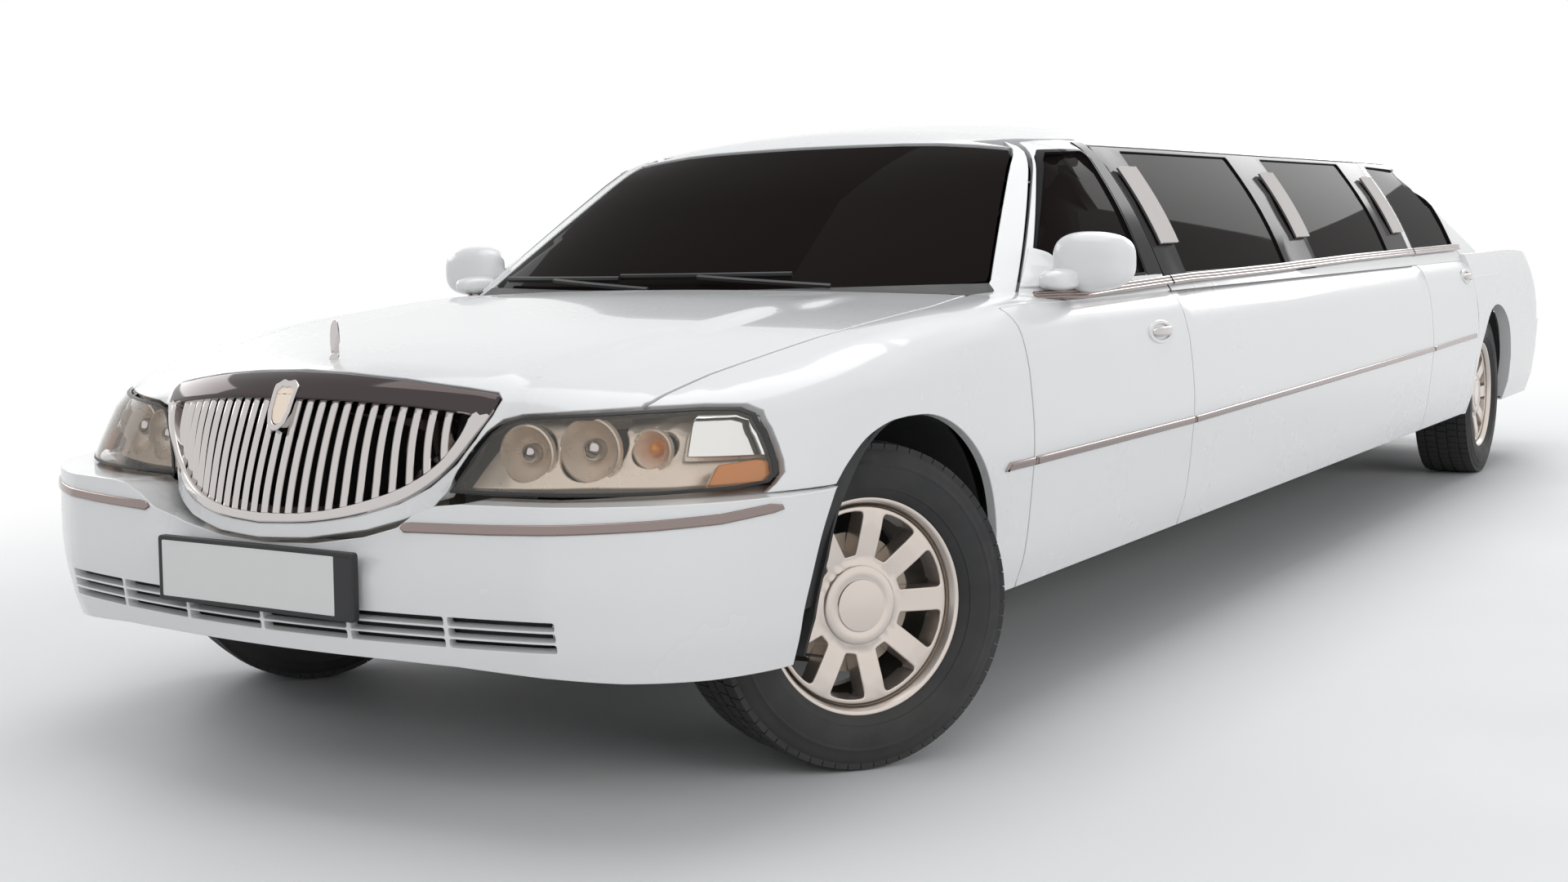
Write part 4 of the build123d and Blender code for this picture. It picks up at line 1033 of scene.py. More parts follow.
def lower_side(start, end, bottom_end, rear_curve=()):
    """A left panel below the glass between two stations."""
    view = shoulder()
    rear = up_side([(bottom_end, 300)] + list(rear_curve) + [(end, 930)])
    front_x = BELT_X - 12 if start < 1000 else BELT_X
    crest = [(BELT_X, end - 2)] + ([(BELT_X, 1010), (BELT_X - 4, 800)] if start < 1000 else []) + [(front_x, start + 2)]
    front = up_side([(start, 930), (start, 300)])
    bottom = up_side([(start, 300), (bottom_end, 300)])[1:-1]
    return outline_on(view, rear, over_top(crest), front, bottom)


def door_lower(name):
    """A door's skin below its window."""
    d = DOORS[name]
    curve = [(5592, 382), (5614, 500), (5620, 645)] if name == "rear" else []
    loop = lower_side(d["start"], d["end"], d["bottom_end"], curve)
    return sheet(shoulder(), [loop], step=70.0, edge_step=32.0, depth=38.0, back=38.0, back_slot=1)


def door_frame(name):
    """The part of a door round its window."""
    if name == "front":
        edge = [(884, 958), (893, 978), (1462, 1360), (1492, 1376)]
        edge += [(1556, FRAME_TOP), (1742, FRAME_TOP), (1742, WAIST_Z), (1010, WAIST_Z)]
        loop = rounded(edge, (0, 20, 20, 30, 0, 8, 0, 0))
    else:
        edge = [(4750, WAIST_Z), (4750, BAND_TOP), (5404, BAND_TOP - 2)]
        edge += [(5506, 1318), (5566, 1240), (5590, 1140), (5606, WAIST_Z)]
        loop = rounded(edge, (0, 8, 70, 60, 60, 60, 0))
    loops = [loop, WINDOWS[name]]
    return sheet(GLASS_SIDE, loops, step=60.0, edge_step=30.0, depth=(34.0, 9.0), back=30.0, back_slot=1)


def door_band():
    """Gloss black on the left front door's rear pillar."""
    loop = rounded([(1614, 1002), (1664, 1356), (1672, 1378), (1739, 1378), (1739, 1002)], (4, 8, 8, 6, 4))
    return sheet(Side(inset(greenhouse, -1.6)), [loop], step=60.0, edge_step=30.0, rim=1.5, depth=3.0)


def pane(name):
    """A side window, set in a little."""
    return sheet(Side(inset(greenhouse, 6.0)), [WINDOWS[name]], step=80.0, edge_step=40.0, rim=0.5, depth=5.0, back=5.0)


def window_seal(name, width=9.0, proud=1.0):
    """A slim frame on the edge of a window opening."""
    outer = np.array(WINDOWS[name])
    centre = outer.mean(0)
    shrink = outer + unit(centre - outer) * width
    view = Side(inset(greenhouse, -proud))
    return sheet(view, [outer, shrink], step=200.0, edge_step=30.0, rim=0.8, depth=(4.0, 9.0))


def stretch_lower():
    """The stretch's panel below its windows."""
    loop = lower_side(1748.0, 4744.0, 4744.0)
    return sheet(shoulder(), [loop], step=110.0, edge_step=60.0, depth=40.0, back=40.0)


def stretch_band():
    """The band that holds the stretch's two windows."""
    loop = rounded([(1748, WAIST_Z), (1748, BAND_TOP), (4744, BAND_TOP), (4744, WAIST_Z)], 4)
    loops = [loop, WINDOWS["first"], WINDOWS["second"]]
    return sheet(GLASS_SIDE, loops, step=110.0, edge_step=60.0, depth=(30.0, 9.0, 9.0), back=28.0)


def stretch_waist():
    """Body colour between the stretch's shoulder and its belt moulding."""
    top = [(s, belt_height(s) - 8.0) for s in (4742.0, 3800.0, 2800.0, 1900.0, 1750.0)]
    loop = [(1750.0, 956.0), (4742.0, 956.0)] + top
    return sheet(Side(inset(greenhouse, -2.0)), [loop], step=120.0, edge_step=80.0, rim=1.0, depth=3.0)


def bonnet():
    """The bonnet, with the nose that wraps round the grille."""
    view = Cross(upper, *NOSE_AXIS)
    rear = [(0, 548), (300, 568), (560, 619), (700, 660), (778, 688)]
    rear = trace(Top(upper), smooth_line(rear, 4), 40.0)
    side = trace(Top(upper), [(x - 1, s) for x, s in reversed(HOOD_SIDE[:-1])] + [(697, -652)], 30.0)
    lamp = [(696, 815), (591, 809), (498, 803), (460, 793), (436, 770), (408, 728), (386, 692), (368, 652)]
    lamp = trace(nose(), lamp, 16.0)
    side = side[side[:, 1] > lamp[0, 1] + 4.0]
    front = trace(nose(), NOSE_EDGE, 22.0)
    edge = whole(outline_on(view, rear, side, lamp, front))
    loops = [edge, whole(view.flat(trace(nose(), GRILLE, 20.0)))]
    return sheet(view, loops, step=46.0, edge_step=24.0, depth=(26.0, 30.0), back=22.0, back_slot=1)


def roof():
    """The roof's skin, down to the tops of the doors and screens."""
    view = Top(greenhouse, 1100.0)
    front = [(0, 1389), (150, 1388), (300, 1386), (400, 1382), (500, 1373), (592, 1361)]
    front = trace(End(greenhouse, 400.0, 2600.0), front, 30.0)
    side = [(1446, 1384), (1520, 1388), (1744, 1388), (1749, 1370), (4747, 1370), (5404, 1370), (5440, 1360)]
    side = trace(GLASS_SIDE, side, 60.0)
    rear = trace(End(greenhouse, 6700.0, 4300.0), [(500, 1366), (420, 1374), (300, 1381), (150, 1387), (0, 1389)], 30.0)
    loop = whole(outline_on(view, front, side, rear))
    return sheet(view, [loop], step=90.0, edge_step=40.0, depth=30.0, back=28.0, back_slot=1)


SCREEN = [
    (0, 996), (400, 998), (700, 1003), (751, 1009), (748, 1022), (604, 1338), (588, 1353), (500, 1364), (400, 1373),
    (300, 1377), (150, 1379), (0, 1380),
]
BACK_SCREEN = [(0, 1064), (400, 1064), (650, 1068), (664, 1082), (530, 1338), (514, 1352), (300, 1372), (0, 1381)]


def screen_glass(outline, end):
    """The windscreen or the rear window, set in a little."""
    view, ahead = screen(5.0, end)
    loop = whole(outline_on(view, trace(ahead, outline, 40.0)))
    return sheet(view, [loop], step=70.0, edge_step=34.0, rim=1.0, depth=5.0, back=5.0)


def windscreen_pillar():
    """The left pillar between windscreen and door."""
    view, ahead = screen(0.0)
    inner = trace(ahead, [(764, 975), (760, 1012), (614, 1338), (598, 1357)], 30.0)
    outer = trace(GLASS_SIDE, [(1480, 1380), (1460, 1364), (890, 980), (882, 965)], 30.0)
    return sheet(view, [outline_on(view, inner, outer)], step=60.0, edge_step=26.0, depth=24.0, back=24.0)


def front_bumper():
    """The front bumper's skin, with its rows of lower openings."""
    view, front = Post(bumper, BUMPER_AXIS), bumper_ahead()
    edge = trace(front, [tuple(p) for p in DIP[:-1]] + [(600, 645), (850, 645), (930, 645)], 20.0)
    rest = trace(Side(bumper), [(-560, 643), (-390, 643)], 20.0)
    arch = Side(bumper).place(np.array(smooth_line(ARCH_FOOT[::-1], 4), float))
    bottom = trace(front, [(905, 299), (845, 299), (740, 305), (640, 317), (450, 330), (300, 333), (0, 334)], 26.0)
    loops = [whole(outline_on(view, edge, rest[1:], arch, bottom))]
    pitch = 2 * mm("intake_width") / sizes().intake_columns
    for column in range(sizes().intake_columns):
        for low_z, high_z in INTAKE_ROWS:
            left = -mm("intake_width") + column * pitch + INTAKE_WEB / 2
            right = left + pitch - INTAKE_WEB
            cut = rounded([(left, low_z), (left, high_z), (right, high_z), (right, low_z)], 5.0, 3)
            loops.append(view.flat(trace(front, list(map(tuple, cut)) + [tuple(cut[0])], 40.0)[:-1]))
    return sheet(view, loops, step=44.0, edge_step=26.0, depth=[150.0] + [26.0] * (len(loops) - 1))


def intake_shade_back():
    """A dark screen behind the bumper's lower openings. It is partly their black backing and partly painted shade that
    keeps the openings dark.
    """
    low, high = 360, 438
    loop = [(x, high) for x in (-628, -400, 0, 400, 628)] + [(x, low) for x in (628, 400, 0, -400)]
    loop = [(-628, low)] + loop
    return sheet(bumper_ahead(34.0), [loop], step=60.0, edge_step=40.0, rim=1.0, depth=3.0)


def bumper_strip():
    """The chrome strip on the left half of the front bumper."""
    view, front = Post(inset(bumper, -5.0), BUMPER_AXIS), bumper_ahead(-5.0)
    line = [(338, 596), (370, 598), (534, 600), (684, 604), (804, 608), (890, 613), (946, 622)]
    top = [(x, z + 10) for x, z in line[1:-1]]
    low = [(x, z - 10) for x, z in line[1:-1]]
    run = [(348, 605)] + top + [(938, 633), (947, 629), (948, 619), (940, 614)] + low[::-1] + [(352, 587), (340, 594)]
    return sheet(view, [outline_on(view, trace(front, run, 20.0))], step=60.0, edge_step=20.0, rim=4.0, depth=7.0)


def side_strip(start, end, slant=False):
    """A length of the rubbing strip on the left side."""
    view = Side(inset(flank, -7.0))
    near, far = np.interp([start, end], STRIP_LINE[:, 0], STRIP_LINE[:, 1])
    lean, reach = (20, 6) if slant else (0, 0)
    loop = [(start + lean, near + 10), (end, far + 10), (end, far - 10), (start - reach, near - 10)]
    return sheet(view, [rounded(loop, 3)], step=200.0, edge_step=60.0, rim=6.0, depth=9.0)


def ribbed(width, height, ribs):
    """The section of a moulding with rounded lengthwise ribs, as (out, up) pairs."""
    points = [(0.0, 0.0)]
    for i in range(ribs * 6 + 1):
        t = i / (ribs * 6)
        points.append((t * width, height * (0.72 + 0.28 * abs(math.sin(math.pi * t * ribs)))))
    return points + [(width, 0.0)]


def on_side(surface, rows):
    """Points and outward directions along the left side, from rows of station and Z."""
    view = Side(surface)
    uv = np.array(rows, float)
    points = view.place(uv)
    return points, surface_normals(view, uv, points)


def belt_strip(start, end):
    """A length of the moulding under the side glass."""
    rows = [(s, belt_height(s)) for s in np.linspace(start, end, int((end - start) / 80) + 2)]
    points, out = on_side(inset(greenhouse, -4.0), rows)
    return sweep(points + [0, 0, 13.0], out, ribbed(26.0, 9.0, 3))


LOUVRE_WIDTH = 144.0
LOUVRES = (1876.0, 3270.0, 4640.0)


def louvre(station):
    """Bright upright ribs on a left pillar."""
    shell = Shell()
    pitch = LOUVRE_WIDTH / sizes().louvre_ribs
    for i in range(sizes().louvre_ribs):
        middle = station - LOUVRE_WIDTH / 2 + (i + 0.5) * pitch
        rows = divided([(middle, 1082.0), (middle, 1300.0)], 30.0)
        points, out = on_side(inset(greenhouse, -3.0), rows)
        half = pitch * 0.41
        section = [(-half, 0.0), (-half, 6.0)]
        section += [(half * math.sin(a), 6.0 + 9.0 * math.cos(a)) for a in np.linspace(-1.35, 1.35, 7)]
        section += [(half, 6.0), (half, 0.0)]
        shell.join(sweep(points, out, section))
    return shell


def handle(station, z):
    """A lever in an oval bezel. Bezel is slot 0 and lever slot 1."""
    view = Side(inset(flank, -4.0))
    oval = lambda a, b: [(station + a * math.cos(t), z + b * math.sin(t)) for t in np.linspace(0, 2 * math.pi, 28)[:-1]]
    bezel = sheet(view, [oval(96.0, 32.0), oval(74.0, 20.0)], step=200.0, edge_step=12.0, rim=3.5, depth=(6.0, 16.0))
    cup = sheet(Side(inset(flank, 6.0)), [oval(76.0, 22.0)], step=30.0, edge_step=12.0, rim=0.5, depth=3.0, slot=0)
    x = float(SIDE_VIEW.place(np.array([(station, z)]))[0, 0])

    def bend(p):
        p[:, 0] -= 0.0014 * p[:, 1] ** 2
        return p

    lever = blob([x + 12.0, station, z + 1.0], [8.5, 76.0, 12.5], 3.4, 16, 28, 1, bend)
    stem = blob([x + 2.0, station + 50.0, z], [9.0, 15.0, 10.0], 3.0, 10, 16, 1)
    return Shell().join(bezel, cup, lever, stem)


def mirror():
    """A left door mirror: shell, foot and sail in slot 0, glass in slot 2."""

    def cup(p):
        back = ramp(p[:, 1], 20.0, 62.0)
        p[:, 1] = np.where(p[:, 1] > 34.0, 34.0 + (p[:, 1] - 34.0) * 0.15, p[:, 1])
        p[:, 2] *= 1 - 0.10 * ramp(p[:, 0], -20.0, 90.0)
        p[:, 1] += 0.10 * np.maximum(p[:, 0], 0) * (1 - back * 0.5)
        return p

    body = blob([958.0, 1052.0, 1050.0], [96.0, 66.0, 76.0], 3.0, 26, 44, 0, cup)
    rear = blob([961.0, 1090.0, 1050.0], [84.0, 5.0, 64.0], 3.4, 12, 40, 2)
    neck = blob([900.0, 985.0, 1008.0], [44.0, 84.0, 28.0], 2.6, 16, 30, 0)
    view = Side(inset(greenhouse, -5.0))
    sail = rounded([(908, 992), (921, 1001), (1062, 1092), (1082, 1078), (1058, 992)], (6, 20, 14, 10, 6))
    plate = sheet(view, [sail], step=40.0, edge_step=16.0, rim=4.0, depth=8.0, slot=0)
    return Shell().join(body, rear, neck, plate)


def grille_frame():
    """The thick rim of the grille: slot 0 bright, slot 1 dark on its upper band."""
    view, front = Cross(inset(upper, -7.0), *NOSE_AXIS), nose(-7.0)
    loops = []
    for points in (GRILLE, MOUTH):
        flat = view.flat(trace(front, smooth_line(points, 3), 16.0))
        loops.append(whole(flat))
    frame = sheet(view, loops, step=24.0, edge_step=16.0, rim=8.0, depth=(16.0, 62.0))
    points = np.vstack(frame.points)
    for i, f in enumerate(frame.faces):
        middle = points[list(f)].mean(0)
        if middle[2] > 806.0:
            frame.slots[i] = 1
    return frame


def grille_slats():
    """The upright bars in the grille's mouth."""
    view = nose(12.0)
    top = np.array(smooth_line(MOUTH[:7], 4))
    low = np.array(smooth_line(MOUTH[5:][::-1], 4))
    shell = Shell()
    for i in range(-(sizes().slats // 2), sizes().slats // 2 + 1):
        x = i * mm("slat_pitch")
        if abs(x) > 396.0:
            continue
        high_z = np.interp(abs(x), top[:, 0], top[:, 1]) + 6.0
        low_z = np.interp(abs(x), low[:, 0], low[:, 1]) - 6.0
        path = view.place(np.stack([np.full(14, x), np.linspace(low_z, high_z, 14)], 1))
        half = mm("slat_width") / 2
        section = [(-half, -26.0), (-half, 0.0)]
        section += [(half * math.sin(a), 5.0 * math.cos(a)) for a in np.linspace(-1.2, 1.2, 7)]
        section += [(half, 0.0), (half, -26.0)]
        out = np.tile([0.0, -1.0, 0.18], (14, 1))
        shell.join(sweep(path, out, section))
    return shell


def grille_back():
    """A dark screen behind the slats."""
    view = nose(70.0)
    loop = even([(x * 0.98, z) for x, z in MOUTH])
    return sheet(view, [loop], step=60.0, edge_step=30.0, rim=1.0, depth=4.0)


def shield():
    """The blank shield at the middle of the grille."""
    view = nose(-11.0)
    outline = [(0, 866), (15, 869), (32, 858), (30, 806), (23, 782), (11, 770), (0, 767)]
    ring = [(0, 853), (11, 855), (21, 846), (19, 806), (14, 790), (7, 782), (0, 780)]
    frame = sheet(view, [even(outline), even(ring)], step=100.0, edge_step=10.0, rim=3.0, depth=(26.0, 8.0))
    plate = sheet(nose(-7.0), [even(ring)], step=14.0, edge_step=10.0, rim=0.5, depth=3.0, slot=1)
    return Shell().join(frame, plate)


def lamp_lens():
    """The left lamp's cover, and its outline."""
    loop = outline_on(nose(), trace(nose(), [tuple(p) for p in LAMP + LAMP[:1]], 18.0))
    return sheet(nose(), [loop], step=34.0, edge_step=18.0, rim=3.0, depth=6.0), loop


def lamp_bezel(loop):
    """The dark line round the lens."""
    centre = np.array([660.0, 732.0])
    shrink = []
    for a, p, b in zip(np.roll(loop, 1, 0), loop, np.roll(loop, -1, 0)):
        along = unit(b - a)
        inward = np.array([-along[1], along[0]])
        inward *= np.sign(inward @ (centre - p)) or 1
        shrink.append(p + inward * 6.0)
    return sheet(nose(-0.8), [loop, np.array(shrink)], step=200.0, edge_step=18.0, rim=1.0, depth=(4.0, 14.0))


REFLECTORS = [(496.0, 723.0, 52.0, 88.0), (614.0, 731.0, 58.0, 90.0), (714.0, 731.0, 34.0, 50.0)]


def lamp_inside():
    """A left lamp's reflectors, bulbs and turn lamps. Slots: corner shroud, bowls and their rings, amber, bright bulbs.
    """
    shell = Shell()
    deep = nose(62.0)
    inner = []
    centre = np.array([660.0, 732.0])
    for p in LAMP:
        p = np.array(p, float)
        inner.append(p + (centre - p) / np.linalg.norm(centre - p) * 8.0)
    holes = []
    for x, z, radius, _ in REFLECTORS:
        turns = np.linspace(0, 2 * math.pi, 33)[:-1]
        holes.append([(x + radius * math.cos(t), z + radius * math.sin(t)) for t in turns])
    shell.join(sheet(deep, [inner] + holes, step=26.0, edge_step=12.0, rim=3.0, depth=[40.0] + [12.0] * 3, slot=1))
    for k, (x, z, radius, depth) in enumerate(REFLECTORS):
        s = float(deep.place(np.array([(x, z)]))[0, 1])
        bowl = [(-depth * (1 - (r / radius) ** 2) * 0.62, r) for r in np.linspace(radius, 6.0, 12)]
        bowl = lathe([(a + 4.0, r) for a, r in bowl], 40, 1, 60.0)
        dome = [(6.0, 0.2), (4.0, radius * 0.24), (-6.0, radius * 0.36), (-26.0, radius * 0.38)]
        dome = lathe(dome, 28, 3 if k < 2 else 2, 70.0)
        ring = lathe([(2.0, radius - 1), (8.0, radius + 3), (7.0, radius + 7), (-4.0, radius + 8)], 48, 1, 60.0)
        for part in (bowl, dome, ring):
            shell.join(part.turned([x, s - 6.0, z], [0.12, -1.0, 0.0]))
    amber = rounded([(828, 666), (834, 704), (878, 710), (900, 702), (902, 676), (894, 667)], 6)
    shell.join(sheet(nose(12.0), [amber], step=20.0, edge_step=10.0, rim=3.0, depth=20.0, slot=2))
    corner = rounded([(782, 718), (772, 796), (836, 800), (858, 786), (876, 758), (890, 726), (892, 714)], 6)
    shell.join(sheet(nose(26.0), [corner], step=20.0, edge_step=10.0, rim=3.0, depth=24.0, slot=0))
    return shell


def ornament():
    """A plain slim fin on an oval foot, on the bonnet's nose."""
    fin = blob([0.0, -748.0, 940.0], [6.5, 13.0, 44.0], 2.4, 24, 20)
    foot = blob([0.0, -758.0, 889.0], [17.0, 40.0, 8.0], 2.4, 14, 24)
    stem = blob([0.0, -751.0, 900.0], [8.0, 14.0, 16.0], 2.2, 12, 18)
    return Shell().join(fin, foot, stem)


class Flat:
    """Maps X and Z to an upright plane across the car."""

    def __init__(self, station):
        self.station = station

    def place(self, uv):
        return np.stack([uv[:, 0], np.full(len(uv), self.station), uv[:, 1]], 1)

    def outward(self, points):
        return np.tile([0.0, -1.0, 0.0], (len(points), 1))


def number_plate():
    """The plate holder in slot 0, with a blank plate in slot 1 and its dark end band in slot 2."""
    outer = rounded([(-265, 410), (-265, 546), (265, 546), (265, 410)], 9)
    inner = rounded([(-254, 420), (-254, 536), (254, 536), (254, 420)], 4)
    front, face = Flat(-1026.0), Flat(-1024.5)
    frame = sheet(front, [outer, inner], step=300.0, edge_step=20.0, rim=3.0, depth=(16.0, 4.0))
    plate = [(-255, 419), (-255, 537), (214, 537), (214, 419)]
    plate = sheet(face, [plate], step=40.0, edge_step=20.0, rim=0.5, depth=3.0, slot=1)
    band = [(215, 419), (215, 537), (255, 537), (255, 419)]
    band = sheet(face, [band], step=30.0, edge_step=20.0, rim=0.5, depth=3.0, slot=2)
    return Shell().join(frame, plate, band)


def wiper(pivot, tip, blade_half):
    """One wiper: an arm from its pivot to a blade on the glass."""
    view, front = screen(-14.0)
    ends = front.place(np.array([pivot, tip], float))
    arm = view.place(divided(view.flat(ends), 50.0))
    upright = [0.0, -0.5, 0.86]
    shell = sweep(arm, np.tile(upright, (len(arm), 1)), [(-7, 0), (-5, 7), (5, 7), (7, 0)])
    a, b = np.array(tip, float) - [blade_half, -6], np.array(tip, float) + [blade_half, 6]
    blade = view.place(divided(view.flat(front.place(np.array([a, b]))), 50.0))
    section = [(-5, -9), (-6, 0), (-3, 6), (3, 6), (6, 0), (5, -9)]
    return shell.join(sweep(blade, np.tile(upright, (len(blade), 1)), section))


def wheel_frames():
    """Centres and outward axes of the four wheels at rest."""
    turn = math.radians(REST_LOCK)
    c, s = math.cos(turn), math.sin(turn)
    rest = {}
    for word, side in (("left", 1), ("right", -1)):
        axis = np.array([side * c, -side * s, 0.0])
        rest["front_" + word] = (np.array([side * KINGPIN_X, 0.0, TYRE_RADIUS]) + axis * KINGPIN_ARM, axis)
        centre = np.array([side * REAR_WHEEL_X, WHEELBASE, TYRE_RADIUS])
        rest["rear_" + word] = (centre, np.array([float(side), 0.0, 0.0]))
    return rest


class Face:
    """Maps Y and Z on a wheel's face, whose depth follows its radius."""

    DISH = np.array([(0, 74), (84, 74), (96, 70), (120, 74), (170, 80), (200, 81), (214, 79)], float)

    def __init__(self, rise=0.0):
        self.rise = rise

    def place(self, uv):
        x = np.interp(np.hypot(uv[:, 0], uv[:, 1]), self.DISH[:, 0], self.DISH[:, 1]) + self.rise
        return np.stack([x, uv[:, 0], uv[:, 1]], 1)

    def outward(self, points):
        return np.tile([1.0, 0.0, 0.0], (len(points), 1))


def circle(radius, count=96):
    """A closed circle about the origin."""
    return [(radius * math.cos(t), radius * math.sin(t)) for t in np.arange(count) * 2 * math.pi / count]


def rim_shell():
    """A road wheel about +X: spokes, lip and blank cap in slot 0, barrel and disc in slot 1."""
    holes = []
    for k in range(sizes().spokes):
        t = 2 * math.pi * (k + 0.5) / sizes().spokes
        c, s = math.cos(t), math.sin(t)
        hole = [(106, -12), (106, 12), (194, 43), (200, 24), (202, 0), (200, -24), (194, -43)]
        hole = rounded(hole, (5, 5, 9, 30, 60, 30, 9), 4)
        holes.append([(p[0] * c - p[1] * s, p[0] * s + p[1] * c) for p in hole])
    depths = [30.0] + [46.0] * sizes().spokes
    shell = sheet(Face(), [circle(212.0)] + holes, step=15.0, edge_step=9.0, rim=4.0, depth=depths)
    lip = [(60.0, 205.0), (76.0, 212.0), (84.0, 219.0), (94.0, 223.0)]
    lip += [(98.0, 228.0), (97.0, 232.0), (90.0, 233.0), (84.0, 229.0)]
    shell.join(lathe(lip[::-1], 96, 0, 55.0))
    barrel = [(84.0, 214.0), (60.0, 207.0), (-40.0, 198.0), (-84.0, 206.0), (-94.0, 220.0), (-98.0, 231.0)]
    shell.join(lathe(barrel, 72, 1, 60.0))
    outside = [(-98.0, 231.0), (-86.0, 224.0), (-40.0, 206.0), (60.0, 214.0), (84.0, 229.0)]
    shell.join(lathe(outside, 72, 1, 60.0))
    cap = [(74.0, 85.0), (79.0, 84.0), (82.0, 80.0), (82.5, 62.0), (81.0, 60.0)]
    cap += [(81.0, 57.0), (83.5, 55.0), (86.0, 30.0), (86.5, 0.3)]
    shell.join(lathe(cap[::-1], 72, 0, 40.0))
    disc = [(28.0, 150.0), (28.0, 60.0), (34.0, 58.0), (34.0, 0.3)]
    shell.join(lathe(disc[::-1], 60, 1, 30.0))
    return shell


def tyre_shell():
    """The tyre's casing about +X, with sidewall lines. The tread blocks are built apart and joined on."""
    side = [
        (86.0, 226.0), (97.0, 231.0), (101.0, 236.0), (106.0, 246.0), (108.0, 252.0), (109.6, 252.5),
        (110.2, 256.0), (110.6, 259.0), (112.2, 266.0), (112.4, 284.0), (112.0, 296.0), (111.2, 300.0),
        (112.0, 301.5), (111.6, 304.5), (110.2, 306.0), (108.0, 318.0), (104.5, 328.0), (99.0, 337.0), (91.0, 343.5),
    ]
    crown = [(78.0, 345.0), (40.0, 345.6), (0.0, 345.8)]
    half = side + crown
    profile = half + [(-a, r) for a, r in reversed(half[:-1])]
    return lathe(profile, 128, 0, 50.0)


def tread_pitch():
    """One pitch of the tread: five rounded blocks across, at the top of a tyre centred on the origin."""
    length = 2 * math.pi * TYRE_RADIUS / sizes().tread_pitches - 3.0
    # Middle, width, top and shift of each block
    rows = [
        (-84.0, 34.0, 349.4, 0.0), (-43.0, 36.0, 350.8, 5.0), (0.0, 34.0, 351.0, -4.0),
        (43.0, 36.0, 350.8, 5.0), (84.0, 34.0, 349.4, 0.0),
    ]
    shell = Shell()
    for middle, width, top, shift in rows:
        a, b = width / 2, length / 2
        rim = [(-a, -b), (a, -b), (a, b), (-a, b)]
        drop = lambda x: 0.0 if abs(x) < 84 else (abs(x) - 84) * 0.16
        low = [(middle + x, y + shift, 343.0 - 5 * drop(middle + x)) for x, y in rim]
        mid = [(middle + x, y + shift, top - 1.0 - drop(middle + x)) for x, y in rim]
        high = [(middle + x * 0.93, y * 0.92 + shift, top - drop(middle + x)) for x, y in rim]
        for lower, higher in ((low, mid), (mid, high)):
            for i in range(4):
                k = (i + 1) % 4
                quad = np.array([lower[i], lower[k], higher[k], higher[i]])
                n = unit(np.cross(quad[1] - quad[0], quad[3] - quad[0]))
                shell.add(quad, np.tile(n, (4, 1)), [(0, 1, 2, 3)])
        shell.add(high, np.tile([0.0, 0.0, 1.0], (4, 1)), [(0, 1, 2, 3)])
    return shell


def ring_tree(name):
    """A geometry node tree that repeats its input round the X axis."""
    if name in bpy.data.node_groups:
        return bpy.data.node_groups[name]
    tree = bpy.data.node_groups.new(name, "GeometryNodeTree")
    tree.interface.new_socket(name="Geometry", in_out="INPUT", socket_type="NodeSocketGeometry")
    tree.interface.new_socket(name="Count", in_out="INPUT", socket_type="NodeSocketInt")
    tree.interface.new_socket(name="Material", in_out="INPUT", socket_type="NodeSocketMaterial")
    tree.interface.new_socket(name="Geometry", in_out="OUTPUT", socket_type="NodeSocketGeometry")
    start, end = tree.nodes.new("NodeGroupInput"), tree.nodes.new("NodeGroupOutput")
    # One point for each copy, all at the origin
    line = tree.nodes.new("GeometryNodeMeshLine")
    line.inputs["Offset"].default_value = (0, 0, 0)
    index, divide = tree.nodes.new("GeometryNodeInputIndex"), tree.nodes.new("ShaderNodeMath")
    times, spin = tree.nodes.new("ShaderNodeMath"), tree.nodes.new("ShaderNodeCombineXYZ")
    divide.operation, times.operation = "DIVIDE", "MULTIPLY"
    times.inputs[1].default_value = 2 * math.pi
    copies, real = tree.nodes.new("GeometryNodeInstanceOnPoints"), tree.nodes.new("GeometryNodeRealizeInstances")
    coat = tree.nodes.new("GeometryNodeSetMaterial")
    link = tree.links.new
    link(start.outputs["Count"], line.inputs["Count"])
    link(index.outputs[0], divide.inputs[0])
    link(start.outputs["Count"], divide.inputs[1])
    link(divide.outputs[0], times.inputs[0])
    link(times.outputs[0], spin.inputs["X"])
    link(line.outputs["Mesh"], copies.inputs["Points"])
    link(start.outputs["Geometry"], copies.inputs["Instance"])
    link(spin.outputs[0], copies.inputs["Rotation"])
    link(copies.outputs["Instances"], real.inputs["Geometry"])
    link(real.outputs["Geometry"], coat.inputs["Geometry"])
    link(start.outputs["Material"], coat.inputs["Material"])
    link(coat.outputs["Geometry"], end.inputs["Geometry"])
    return tree


def plain_mesh(name, shell):
    """A mesh in millimetres about the origin, for a modifier to work on."""
    mesh = bpy.data.meshes.new(name)
    mesh.from_pydata(np.vstack(shell.points).tolist(), [], shell.faces)
    thing = bpy.data.objects.new(name, mesh)
    bpy.context.scene.collection.objects.link(thing)
    return thing


def repeated(name, shell, count, material):
    """The shell repeated round X by geometry nodes, as a new shell of flat faces."""
    thing = plain_mesh(name + "_unit", shell)
    modifier = thing.modifiers.new("ring", "NODES")
    modifier.node_group = ring_tree("ring_of_copies")
    keys = {item.name: item.identifier for item in modifier.node_group.interface.items_tree if item.in_out == "INPUT"}
    modifier[keys["Count"]] = count
    modifier[keys["Material"]] = material
    graph = bpy.context.evaluated_depsgraph_get()
    mesh = bpy.data.meshes.new_from_object(thing.evaluated_get(graph))
    points = np.zeros(len(mesh.vertices) * 3)
    mesh.vertices.foreach_get("co", points)
    points = points.reshape(-1, 3)
    out = Shell()
    for polygon in mesh.polygons:
        ids = list(polygon.vertices)
        out.add(points[ids], np.tile(np.array(polygon.normal), (len(ids), 1)), [tuple(range(len(ids)))])
    bpy.data.objects.remove(thing)
    return out


def sizes():
    """The user's sizes and counts."""
    return bpy.context.scene.limousine_sizes


